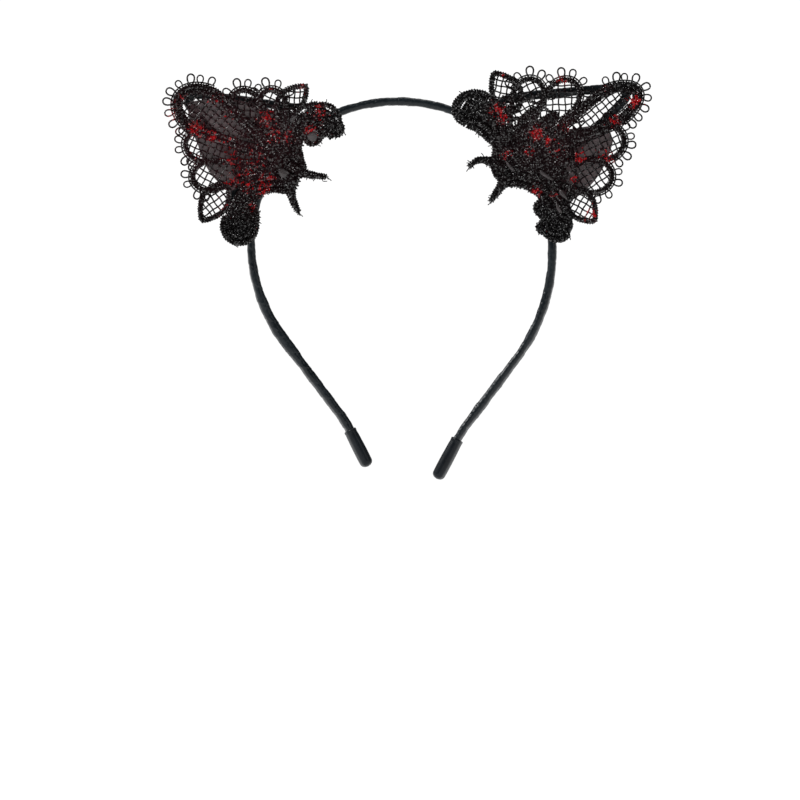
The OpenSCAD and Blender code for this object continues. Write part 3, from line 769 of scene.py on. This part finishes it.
def splash(piece, side):
    """Says on each point of a piece how much paint landed on it."""
    co = np.zeros(len(piece.data.vertices) * 3, np.float32)
    piece.data.vertices.foreach_get("co", co)
    co = co.reshape(-1, 3) / MM
    x, y = np.abs(co[:, 0]), co[:, 2]
    amount = np.zeros(len(x))
    for cx, cy, r, strength in SPLASHES[side]:
        amount = np.maximum(amount, strength * np.exp(-((x - cx) ** 2 + (y - cy) ** 2) / (r * r)))
    middle = np.exp(-(((x - 62) / 24) ** 2 + ((y + 14) / 20) ** 2))
    for key, values in (("paint", amount), ("wash", WASH[side] * middle + 0.4 * amount)):
        layer = piece.data.attributes.new(key, "FLOAT", "POINT")
        layer.data.foreach_set("value", values.astype(np.float32))


def sewn(piece, side, *nodes, slot="black_lace"):
    splash(piece, side)
    if nodes:
        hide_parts(*nodes)
    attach(piece, f"{side}_ear")


CORD = {"Thread": 0.3 * MM, "Pitch": 0.95 * MM, "Flatness": 0.55}
NET_LIFT, GROUND_LIFT, VEIL_LIFT = -0.1, -0.45, 0.3
PETAL_LIFT = (0.6, 0.25, 0.75, 0.35, 0.6)
for side in SIDES:
    rng = np.random.default_rng(21 if side == "left" else 22)
    lines, girths, net, picots, outward = [], [], [], [], []

    def cord(points, half, lift=0.0, end_half=None):
        """Adds a satin cord along front-view points; its half-width may taper to end_half."""
        points = np.asarray(points, float)
        lines.append(on_lace(side, points, lift))
        wobble = 1 + 0.06 * np.sin(np.arange(len(points)) * 0.9 + rng.uniform(0, 6.3))
        girths.append(np.linspace(half, end_half or half, len(points)) * wobble * MM)

    outlines = [petal_outline(side, petal) for petal in PETALS[side]]
    for number, petal in enumerate(PETALS[side]):
        lift, outline = PETAL_LIFT[number], outlines[number]
        cord(outline, CORD_HALF, lift)
        if number == LONGEST:
            cord(petal_outline(side, petal, -2.0), CORD_HALF, lift - 0.2)
        direction, reach, _, _, turn = petal
        cord(through([from_root(side, direction, 7), from_root(side, direction + 1, 0.35 * reach),
                      from_root(side, direction, 0.5 * reach)]), 0.7, 0.4, 0.4)
        # Where petals overlap, each keeps the net nearest its own middle.
        above = (PETALS[side][number - 1][0] + direction) / 2 if number else direction + 30
        last = number + 1 == len(outlines)
        below = direction - 30 if last else (PETALS[side][number + 1][0] + direction) / 2
        sector = np.array([from_root(side, a, r)
                           for a, r in ((above, 4), (above, 90), (below, 90), (below, 4))])
        net += [on_lace(side, run, NET_LIFT) for run in netting(outline, direction + turn, NET_STEP, rng,
                                                            only=lambda p: inside(p, sector))]
        # The rounded end carries the loops, on a running thread just outside the cord.
        edge = turned_to(side, petal, petal_end(petal, EDGE_GAP, 80, 60))
        net.append(on_lace(side, edge, lift - 0.2))
        edge = evenly(edge, 0.2)
        tangent = np.gradient(edge, axis=0)
        normal = np.stack([-tangent[:, 1], tangent[:, 0]], 1)
        normal /= np.linalg.norm(normal, axis=1)[:, None]
        for k in np.linspace(0.06, 0.94, PICOTS[side][number]):
            i = int(k * (len(edge) - 1))
            foot, tip = on_lace(side, np.array([edge[i] - 1.0 * normal[i], edge[i] + 2 * normal[i]]), lift)
            picots.append(foot)
            outward.append(unit(tip - foot))
    for leaf in LEAVES[side]:
        outline = leaf_outline(leaf)
        cord(np.concatenate([outline, outline[:2]]), CORD_HALF, 0.2)
        a = math.degrees(math.atan2(leaf[1][1] - leaf[0][1], leaf[1][0] - leaf[0][0]))
        net += [on_lace(side, run, NET_LIFT) for run in netting(outline, a + leaf[3], NET_STEP - 0.2, rng)]
    # The ground between the petals, and the festoons and spines that fill the fan's middle.
    span = np.linspace(104, -36, 60)
    reach_at = [max(p[1] * (1 - 0.12 * ((a - p[0]) / p[2]) ** 2) for p in PETALS[side] if abs(a - p[0]) < 24)
                if min(abs(a - p[0]) for p in PETALS[side]) < 24 else 24 for a in span]
    ground = np.array([from_root(side, a, max(14, GROUND[side] * r)) for a, r in zip(span, reach_at)]
                      + [from_root(side, a, 7) for a in span[::-1]])
    net += [on_lace(side, run, GROUND_LIFT) for run in netting(
        ground, 27, 2.4, rng, 0.2, only=lambda p: ~np.any([inside(p, o) for o in outlines], axis=0))]
    for r, wave in FESTOONS[side]:
        a = np.linspace(92, -28, 160)
        ripple = r + wave * np.abs(np.sin(np.radians(a * 4.5)))
        cord([from_root(side, ak, rk) for ak, rk in zip(a, ripple)], 0.5, 0.35)
    for a in np.linspace(96, -30, 11):
        a += rng.normal(0, 2)
        far = rng.uniform(13, 20)
        cord(through([from_root(side, a, 5), from_root(side, a + rng.normal(0, 2), far * 0.6),
                      from_root(side, a + rng.normal(0, 3), far)]), 0.75, 0.3, 0.4)
    # A looser net lies over the middle, and small leaves of solid stitching fill some petals.
    veil = np.array([from_root(side, a, max(12, VEIL[side] * r)) for a, r in zip(span, reach_at)]
                    + [from_root(side, a, 8) for a in span[::-1]])
    for run in netting(veil, 12, 3.1, rng, 0.25):
        cord(run, 0.3, VEIL_LIFT)
    for direction, near, far, half in HEARTS[side]:
        base, tip = from_root(side, direction, near), from_root(side, direction, far)
        heart = leaf_outline((base, tip, half, 0))
        cord(np.concatenate([heart, heart[:2]]), 0.7, 0.55)
        for run in rows_across(heart, direction + 24, 1.05, rng, 0.08):
            cord(run, 0.62, 0.4)

    cords = worked(f"{side}_lace_cords", satin_cord, CORD, rayon, lines, girth=girths)
    sewn(cords, side, f"{side}_lace_fan")
    netted = worked(f"{side}_lace_net", thread_run, {"Thread": 0.31 * MM}, rayon, net)
    sewn(netted, side)
    loops = worked(f"{side}_lace_picots", thread_loops,
                   {"Thread": 0.34 * MM, "Width": 3.1 * MM, "Height": 4.0 * MM, "Sway": 0.25, "Spread": 0.1},
                   rayon, [[p] for p in picots], outward=[[v] for v in outward],
                   facing=[[(0.0, -1.0, 0.0)]] * len(picots))
    sewn(loops, side)


# ---- Sheer sheet of painted shade --------------------------------------------------------------
# A patch of dark organza lies flat behind the middle of each fan and greys the holes of the net:
# it is painted shade, not a real lining. It is cut to stop short of the petals' ends.
SHADE_SHEET_REACH = {
    "left": [(-25, 0.72), (-8, 0.8), (11, 0.86), (30, 0.87), (52, 0.82), (73, 0.66), (88, 0.55)],
    "right": [(-30, 0.7), (-4, 0.88), (15, 0.92), (24, 0.75), (31, 0.5), (51, 0.45), (73, 0.42), (88, 0.4)],
}
PETAL_REACH = {"left": [(-25, 36), (-8, 39), (11, 42.5), (30, 53), (53, 36), (73, 31), (88, 30)],
               "right": [(-30, 38), (-4, 41), (15, 47), (24, 55), (31, 60), (51, 43), (73, 37), (88, 36)]}

# Organza: very fine, open plain weave of stiff filament, in a smoky mauve that is painted shade.
# It lets some of the white behind through, and shines faintly. Its 0.25 mm mesh is drawn at 0.6 mm.
shade_organza, shader, where = finish_named("painted_shade_organza", Roughness=0.5, Sheen_Weight=0.3, Sheen_Roughness=0.4,
                                      Specular_IOR_Level=0.4)
tree = where.id_data
grid = add(tree, "ShaderNodeMapping", {"Vector": where, "Rotation": (0.0, 0.5, 0.0),
                                       "Scale": (1650.0, 200.0, 1650.0)})
cells = add(tree, "ShaderNodeTexVoronoi", {"Vector": grid.outputs[0], "Scale": 1.0, "Randomness": 0.2})
holes = cells.outputs["Distance"]
feed(shader, Base_Color=mixed(noise(where, 160.0, 3.0), "#352427", "#75575b"),
     Alpha=ranged(holes, 0.0, 0.6, 0.7, 0.9), Normal=bump(holes, 0.2, 0.0001))

for side in SIDES:
    rays, rings = 64, 22
    angles = np.linspace(SHADE_SHEET_REACH[side][0][0], SHADE_SHEET_REACH[side][-1][0], rays)
    share = np.interp(angles, *zip(*SHADE_SHEET_REACH[side]))
    reach = np.interp(angles, *zip(*PETAL_REACH[side])) * share
    grid_points = np.array([[from_root(side, a, 6 + (r - 6) * t) for a, r in zip(angles, reach)]
                            for t in np.linspace(0, 1, rings)])
    pucker = 0.12 * np.sin(np.arange(rays) * 0.9)[None] * np.linspace(0, 1, rings)[:, None] ** 2
    # The sheet lies just behind the lace, where it stands in as painted shade for the net's holes.
    points = on_lace(side, grid_points, -0.95 + pucker)
    quads = [(i * rays + k, (i + 1) * rays + k, (i + 1) * rays + k + 1, i * rays + k + 1)
             for i in range(rings - 1) for k in range(rays - 1)]
    mesh = bpy.data.meshes.new(f"{side}_painted_shade_sheet")
    mesh.from_pydata(points.reshape(-1, 3).tolist(), [], quads)
    mesh.materials.append(shade_organza)
    mesh.shade_smooth()
    patch = put(f"{side}_painted_shade_sheet", mesh)
    shell = bmesh.new()
    shell.from_mesh(mesh)
    bmesh.ops.solidify(shell, geom=shell.faces[:], thickness=0.15 * MM)
    bmesh.ops.recalc_face_normals(shell, faces=shell.faces)
    shell.to_mesh(mesh)
    shell.free()
    area = sum(f.area for f in mesh.polygons) / 2
    low, high = grid_points.reshape(-1, 2).min(0), grid_points.reshape(-1, 2).max(0)
    flat = ((high - low) * MM).tolist()
    area = min(area, flat[0] * flat[1])
    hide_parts(f"{side}_lining")
    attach(patch, f"{side}_ear")


# ---- Scrolls and the root ----------------------------------------------------------------------
# Above and below each root the cords curl into scrolls, which cover the lashings. Below it the
# root runs out in two short tails with frayed ends. All are the same corded work.
SCROLLS = {  # each cord as (arc or points to pass through, half-width, lift, half-width at its end)
    "left": {
        "upper_scroll": [
            (arc((29.5, -6.5), 6.6, 20, 250), 1.0, 0.5, None),
            (arc((29.5, -6.5), 4.2, 20, 230), 0.95, 0.7, 0.8),
            (arc((24.3, -9.3), 2.5, 60, 330), 1.0, 0.5, None),
            (arc((33.4, -12.3), 2.9, -10, 350), 0.95, 0.6, None),
            ([(35.4, -4.5), (36.8, -8.5), (38.2, -13), (40, -18)], 1.5, 0.4, 1.9),
            ([(32.5, -1.2), (37.5, -4.5), (41, -9.5), (42.5, -16)], 1.0, 0.6, 1.4),
            ([(31.5, 0.5), (38.5, -1.5), (43.5, -6.5), (46, -13)], 0.9, 0.2, 1.0),
            ([(26.5, -9.5), (29.2, -12), (31.2, -14)], 1.1, 0.2, 0.9),
            ([(29, -3.4), (32.5, -5.4), (34.5, -8.8)], 0.9, 0.8, 0.8),
        ],
        "lower_scroll": [
            (arc((61.6, -46.7), 6.6, 100, 395), 1.0, 0.5, None),
            (arc((61.6, -46.7), 4.1, 120, 380), 0.9, 0.8, 0.7),
            (arc((61.6, -46.5), 1.9, 0, 320), 0.8, 0.7, 0.6),
            (arc((57.2, -39.6), 2.2, 0, 360), 0.8, 0.8, None),
            ([(44, -28.6), (50.5, -28.3), (55.1, -29.3), (61, -33.7), (64.6, -39.5), (66.8, -44.5)],
             1.1, 0.5, 1.0),
            ([(44, -30.8), (49.5, -30.7), (53.5, -31.5), (58.3, -34.2), (61.4, -38.5), (62.5, -41)],
             1.1, 0.7, 0.9),
            ([(44, -33), (49.5, -33), (52.9, -34.2), (56.7, -37.2)], 1.1, 0.6, 0.9),
            ([(55.2, -41), (54.6, -44), (55.4, -47)], 1.0, 0.5, 0.9),
            ([(59.8, -39), (60.5, -41.5), (59, -44)], 0.9, 0.6, 0.8),
        ],
        "lace_root": [
            ([(42.5, -23), (38.5, -25.6), (34, -27), (27.8, -27.8)], 2.4, 0.5, 1.0),
            ([(42.5, -27), (41.9, -31.5), (40.9, -36.5), (38.6, -41.4)], 2.6, 0.5, 1.0),
            ([(38, -8), (38.6, -15), (37.6, -21), (36.4, -25)], 1.1, 0.4, 1.3),
            ([(42, -9), (43.5, -16), (46.5, -21), (48.5, -26)], 1.1, 0.4, 1.3),
            ([(44, -12), (49, -17), (55, -19)], 0.9, 0.5, 0.8),
            ([(39.5, -28.5), (41, -32), (43.5, -34)], 1.2, 0.3, 1.2),
        ],
    },
    "right": {
        "upper_scroll": [
            ([(26.6, -7.7), (23.2, -5), (22.2, -1), (24.6, 3), (29.4, 4.9), (34, 4.2), (37.4, 1.4)],
             1.05, 0.5, None),
            ([(26.6, -6.2), (24.4, -4), (23.9, -0.9), (26.4, 2.4), (30.8, 3.2), (35, 1.5)], 0.95, 0.6, 0.8),
            ([(27, -7.9), (30.5, -9.2), (34, -11.8), (38, -15.2)], 1.1, 0.5, 1.6),
            ([(37.4, 1.4), (39.5, -2.5), (40.8, -8), (41.6, -15)], 1.2, 0.6, 1.8),
            ([(34.4, 0.6), (36.3, -3.5), (37.8, -9), (39.4, -16)], 1.1, 0.4, 1.5),
            ([(28, -6), (31.5, -7), (35, -9.5), (38, -13)], 1.0, 0.7, 1.4),
            ([(42, -2), (43.5, -6), (44, -11)], 0.9, 0.4, 1.0),
        ],
        "lower_scroll": [
            (arc((62, -46), 6.0, 60, 320), 1.05, 0.5, None),
            (arc((62, -46), 3.9, 40, 330), 0.9, 0.7, 0.8),
            (arc((62, -46), 1.8, 0, 320), 0.8, 0.7, None),
            (arc((56, -39.8), 2.6, 40, 330), 1.0, 0.5, None),
            (arc((56.3, -47.2), 1.9, 60, 330), 0.95, 0.5, None),
            ([(46, -27.5), (53, -30), (58.5, -34), (63, -39), (67.4, -43.5)], 1.2, 0.5, 1.0),
            ([(44, -30), (48.5, -31), (52.5, -33), (57.5, -37), (60, -41)], 1.2, 0.7, 1.0),
            ([(60, -33), (63.5, -37), (65.5, -41)], 1.0, 0.5, 0.9),
        ],
        "lace_root": [
            ([(42, -24.8), (38, -23.2), (34.2, -21.4), (30.5, -21.6), (27.6, -23.9)], 2.3, 0.5, 0.9),
            ([(42.5, -28), (40.2, -31.2), (38.2, -34), (36.2, -37)], 2.4, 0.5, 1.0),
            ([(39, -14), (37.8, -18.5), (37, -22.5), (38.4, -27.5)], 1.2, 0.4, 1.3),
            ([(42.5, -14), (44.5, -19), (48.5, -23.5), (54, -27)], 1.1, 0.5, 1.2),
            ([(45, -16), (51, -20), (58, -22)], 1.0, 0.5, 0.9),
        ],
    },
}

# Solid stitching: (outline, angle of its rows) for the scrolls and for each ear's root.
SOLID = {
    "left": {
        "upper_scroll": [([(25.4, -7.6), (26.4, -3.4), (29.6, -2.2), (33, -3.6), (36.4, -4), (39.6, -8),
                           (41.8, -13), (38.4, -15), (35.8, -10.6), (32.8, -9), (30.6, -13.4), (27, -11.6),
                           (23, -8.4)], 32)],
        "lower_scroll": [(arc((61.6, -46.7), 6.2, 0, 350), 65),
                         ([(43.5, -27.6), (50, -27.2), (56, -28.8), (62, -33.6), (64, -37.5), (60, -36),
                           (56, -34.6), (50, -33), (43.5, -33)], -20),
                         ([(66.6, -44), (64.4, -39), (60, -34.4), (53, -32), (53.4, -34.8), (55, -38),
                           (54.6, -44), (60, -44)], 20)],
        "lace_root": [([(38, -8), (38.3, -16.9), (37.2, -21.7), (35.6, -25), (37.7, -28.2), (39.9, -33.1),
                        (43.7, -34.7), (47, -33.7), (50, -31), (50.4, -27.7), (49, -21.2), (45.7, -16.9),
                        (43, -11.5), (41, -7.1)], 68)],
    },
    "right": {
        "upper_scroll": [([(27, -7.4), (24.8, -4.4), (24.8, -1), (27, 1.9), (31, 2.6), (35, 1), (37.4, 1),
                           (40, -4), (42.4, -12), (40, -16), (37.6, -14.6), (34, -11.4), (30.5, -8.8)], -34)],
        "lower_scroll": [(arc((62, -46), 5.8, 0, 350), 65),
                         ([(66.6, -42), (63, -37), (58, -32.6), (52, -31), (54.4, -36.4), (53.6, -40),
                           (55, -44), (56, -48.6), (60, -46)], 30)],
        "lace_root": [([(39, -13), (38, -17), (37, -21), (37, -25.5), (38.6, -29.3), (41.7, -32), (46, -31.6),
                        (51, -33.2), (54.4, -35), (59, -32), (52.4, -26.1), (46.4, -21.3),
                        (42.7, -14)], -50)],
    },
}

for side in SIDES:
    rng = np.random.default_rng(31 if side == "left" else 32)
    cords = {name: [(through(path) if isinstance(path, list) else path, *sizes) for path, *sizes in rows]
             for name, rows in SCROLLS[side].items()}
    for name, node in (("upper_scroll", "upper_scroll"), ("lower_scroll", "lower_scroll"),
                       ("lace_root", "lace_stem")):
        group = list(cords[name])
        for outline, angle in SOLID[side][name]:
            closed = evenly(np.array([*outline, outline[0]], float), 0.5)
            for run in rows_across(closed, angle, 1.15, rng, 0.1):
                group.append((run, 0.72, 0.1 + 0.1 * rng.random(), None))
        lines = [on_lace(side, points, lift) for points, half, lift, end in group]
        girths = [np.linspace(half, end or half, len(points)) * MM
                  * (1 + 0.07 * np.sin(np.arange(len(points)) * 0.8 + rng.uniform(0, 6.3)))
                  for points, half, lift, end in group]
        piece = worked(f"{side}_{name}_cords", satin_cord, CORD, rayon, lines, girth=girths)
        sewn(piece, side, f"{side}_{node}")
    # Loose ends: short stiff threads that stick out of the tails and the scrolls' edges.
    ends = []
    for points, *_ in cords["lace_root"][:2]:
        for k in range(7):
            start = points[-1 - rng.integers(0, 4)]
            way = unit(points[-1] - points[-6])
            turn = rng.normal(0, 0.6)
            c, s = math.cos(turn), math.sin(turn)
            way = np.array([c * way[0] - s * way[1], s * way[0] + c * way[1]])
            far = rng.uniform(1.0, 2.6)
            bow = np.array([-way[1], way[0]]) * rng.normal(0, 0.4)
            ends.append(on_lace(side, through([start, start + way * far * 0.5 + bow, start + way * far]),
                                rng.uniform(-0.4, 0.5)))
    for points, half, _, end in sum(cords.values(), []):
        for k in range(5):
            i = rng.integers(1, len(points) - 1)
            surface = np.interp(i, (0, len(points) - 1), (half, end or half))
            ahead = unit(points[i] - points[i - 1])
            normal = np.array([-ahead[1], ahead[0]]) * rng.choice([-1, 1])
            start = points[i] + normal * surface * 0.8
            far = rng.uniform(0.6, 1.4)
            bend = ahead * rng.normal(0, 0.5)
            ends.append(on_lace(side, through([start, start + normal * far * 0.6 + bend * 0.4,
                                               start + normal * far + bend]), 0.3))
    loose = worked(f"{side}_loose_ends", thread_run, {"Thread": 0.18 * MM}, rayon, ends)
    sewn(loose, side)


# ---- Stitches, lashings and glue ---------------------------------------------------------------
# Overcast stitches tie the lace to its wrapped wire every 8 mm. Strong thread wound round the
# band and each wire foot holds the ear on, and hot glue fills the gap behind the root.
for side in SIDES:
    line = wire_lines[side]
    places, outward, facing = [], [], []
    for i in range(45, len(line) - 45, 36):
        ahead = unit(line[i + 1] - line[i - 1])
        back = leaned(side, np.array([[*line[i], 2.4], [*line[i], 6.9], [*(line[i] + ahead), 2.4]]))
        places.append(back[:1])
        outward.append([unit(back[1] - back[0])])
        facing.append([unit(back[2] - back[0])])
    stitches = worked(f"{side}_overcast_stitches", thread_loops,
                      {"Thread": 0.2 * MM, "Width": 2.7 * MM, "Height": 4.7 * MM, "Sway": 0.1,
                       "Spread": 0.05}, rayon, places, outward=outward, facing=facing)
    sewn(stitches, side, slot="sewing_thread")

LASH_ANGLES = {"left": (31, 85), "right": (31, 82)}
BAND_TURNS, FOOT_TURNS, LASH_THREAD = 8.5, 11, 0.29

# Sewing thread: hard polyester, black, a little shinier than the lace and never painted.
polyester, shader, where = finish_named("bonded_polyester_thread", Roughness=0.4, Sheen_Weight=0.1)
ply = noise(where, 2600.0, 1.0)
feed(shader, Base_Color=mixed(ply, "#0a0a0c", "#1d1d22"), Normal=bump(ply, 0.5, 0.0001))

for side in SIDES:
    a, b = (np.array(p) for p in LASHES[side])
    foot_axis = unit(b - a)
    for end, name in ((0, "upper_lashing"), (1, "lower_lashing")):
        heading = math.radians(LASH_ANGLES[side][end])
        tangent = np.array([math.cos(heading), -math.sin(heading)])
        out = np.array([math.sin(heading), math.cos(heading)])
        centre = LASHES[side][end]
        t = np.arange(0, BAND_TURNS * 24) / 24
        angle = t * 2 * math.pi
        # One turn goes round the band's oval section, the barrel turns go round the wire's foot.
        c, s = np.cos(angle), np.sin(angle)
        r = BAND_T / 2 + 0.3
        x_out = r * c
        z_deep = r * s + np.sign(s) * (BAND_W - BAND_T) / 2 * np.minimum(1, np.abs(s) * 4)
        shift = (t / t[-1] - 0.5) * 3.4 + 0.12 * np.sin(t * 2.2)
        xy = centre + shift[:, None] * tangent + x_out[:, None] * out
        band_coil = stood_up(side, np.concatenate([xy, z_deep[:, None]], 1))
        t = np.arange(0, FOOT_TURNS * 18) / 18
        angle = t * 2 * math.pi
        cross = np.array([-foot_axis[1], foot_axis[0]])
        shift = (t / t[-1] - 0.5) * (2 * PIN_HALF - 0.8)
        r = 0.92
        xy = centre + shift[:, None] * foot_axis + r * np.cos(angle)[:, None] * cross
        barrel = stood_up(side, np.concatenate([xy, (WIRE_Z + r * np.sin(angle))[:, None]], 1))
        lash = worked(f"{side}_{name}_thread", thread_run, {"Thread": LASH_THREAD * MM}, polyester,
                      [band_coil, barrel])
        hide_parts(f"{side}_{name}")
        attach(lash, f"{side}_half")

# Hot-melt glue: cloudy, waxy EVA, squeezed out and left to set, greyed by the black behind it.
melt, shader, where = finish_named("hot_melt_glue", Roughness=0.25, IOR=1.48, Transmission_Weight=0.35,
                                   Subsurface_Weight=0.2, Subsurface_Radius=(0.002, 0.002, 0.002))
cloud = noise(where, 500.0, 3.0)
feed(shader, Base_Color=mixed(cloud, "#2b2829", "#6a6263"), Normal=bump(cloud, 0.2, 0.0004))


def in_glue(name, shape):
    """A smooth glue object from a bmesh, which it frees."""
    bmesh.ops.recalc_face_normals(shape, faces=shape.faces)
    mesh = bpy.data.meshes.new(name)
    shape.to_mesh(mesh)
    shape.free()
    mesh.shade_smooth()
    mesh.materials.append(melt)
    return put(name, mesh)


for side in SIDES:
    low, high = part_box(f"{side}_glue_pad")
    middle, size = (low + high) / 2, high - low
    drop = bmesh.new()
    bmesh.ops.create_icosphere(drop, subdivisions=4, radius=1.0)
    for v in drop.verts:
        x, y, z = v.co
        spread = 1 + 0.12 * math.sin(3 * math.atan2(z, x) + 1) + 0.06 * math.sin(5 * math.atan2(z, x))
        v.co = (middle.x + x * spread * size.x / 2, high.y + min(0.0, y) * size.y,
                middle.z + z * spread * size.z / 2)
    bmesh.ops.remove_doubles(drop, verts=drop.verts, dist=1e-6)
    blob = in_glue(f"{side}_hot_glue", drop)
    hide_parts(f"{side}_glue_pad")
    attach(blob, f"{side}_half")

# Set glue also fills a few of the lace's small windows, and lies in beads and strings on it.
DROPS = {  # x, y, half-length, half-width, heading and lift
    "left": [(33.4, -12.3, 2.6, 2.2, 20, 0.5), (41.2, -5.2, 4.2, 2.2, 40, 0.1),
             (44.5, -26.4, 2.2, 1.6, 30, 1.4), (42.5, -9, 1.8, 1.2, 60, 0.6)],
    "right": [(43.6, -23.8, 2.6, 0.6, -50, 1.5), (57.4, -27.2, 3.2, 0.7, -35, 1.0),
              (64, -34.5, 2.4, 0.8, -50, 0.8), (62.5, -40, 2.2, 0.7, -60, 1.3)],
}
for side in SIDES:
    beads = bmesh.new()
    for x, y, long, wide, heading, lift in DROPS[side]:
        made = bmesh.ops.create_icosphere(beads, subdivisions=3, radius=1.0)["verts"]
        c, s = math.cos(math.radians(heading)), math.sin(math.radians(heading))
        co = np.array([v.co for v in made])
        lumpy = 1 + 0.12 * np.sin(3 * np.arctan2(co[:, 1], co[:, 0]) + x)
        along, beside = co[:, 0] * long * lumpy, co[:, 1] * wide * lumpy
        flat = np.stack([x + c * along - s * beside, y + s * along + c * beside], 1)
        for v, to in zip(made, on_lace(side, flat, lift + co[:, 2] / 2)):
            v.co = to
    drops = in_glue(f"{side}_glue_beads", beads)
    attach(drops, f"{side}_ear")


low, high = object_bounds()
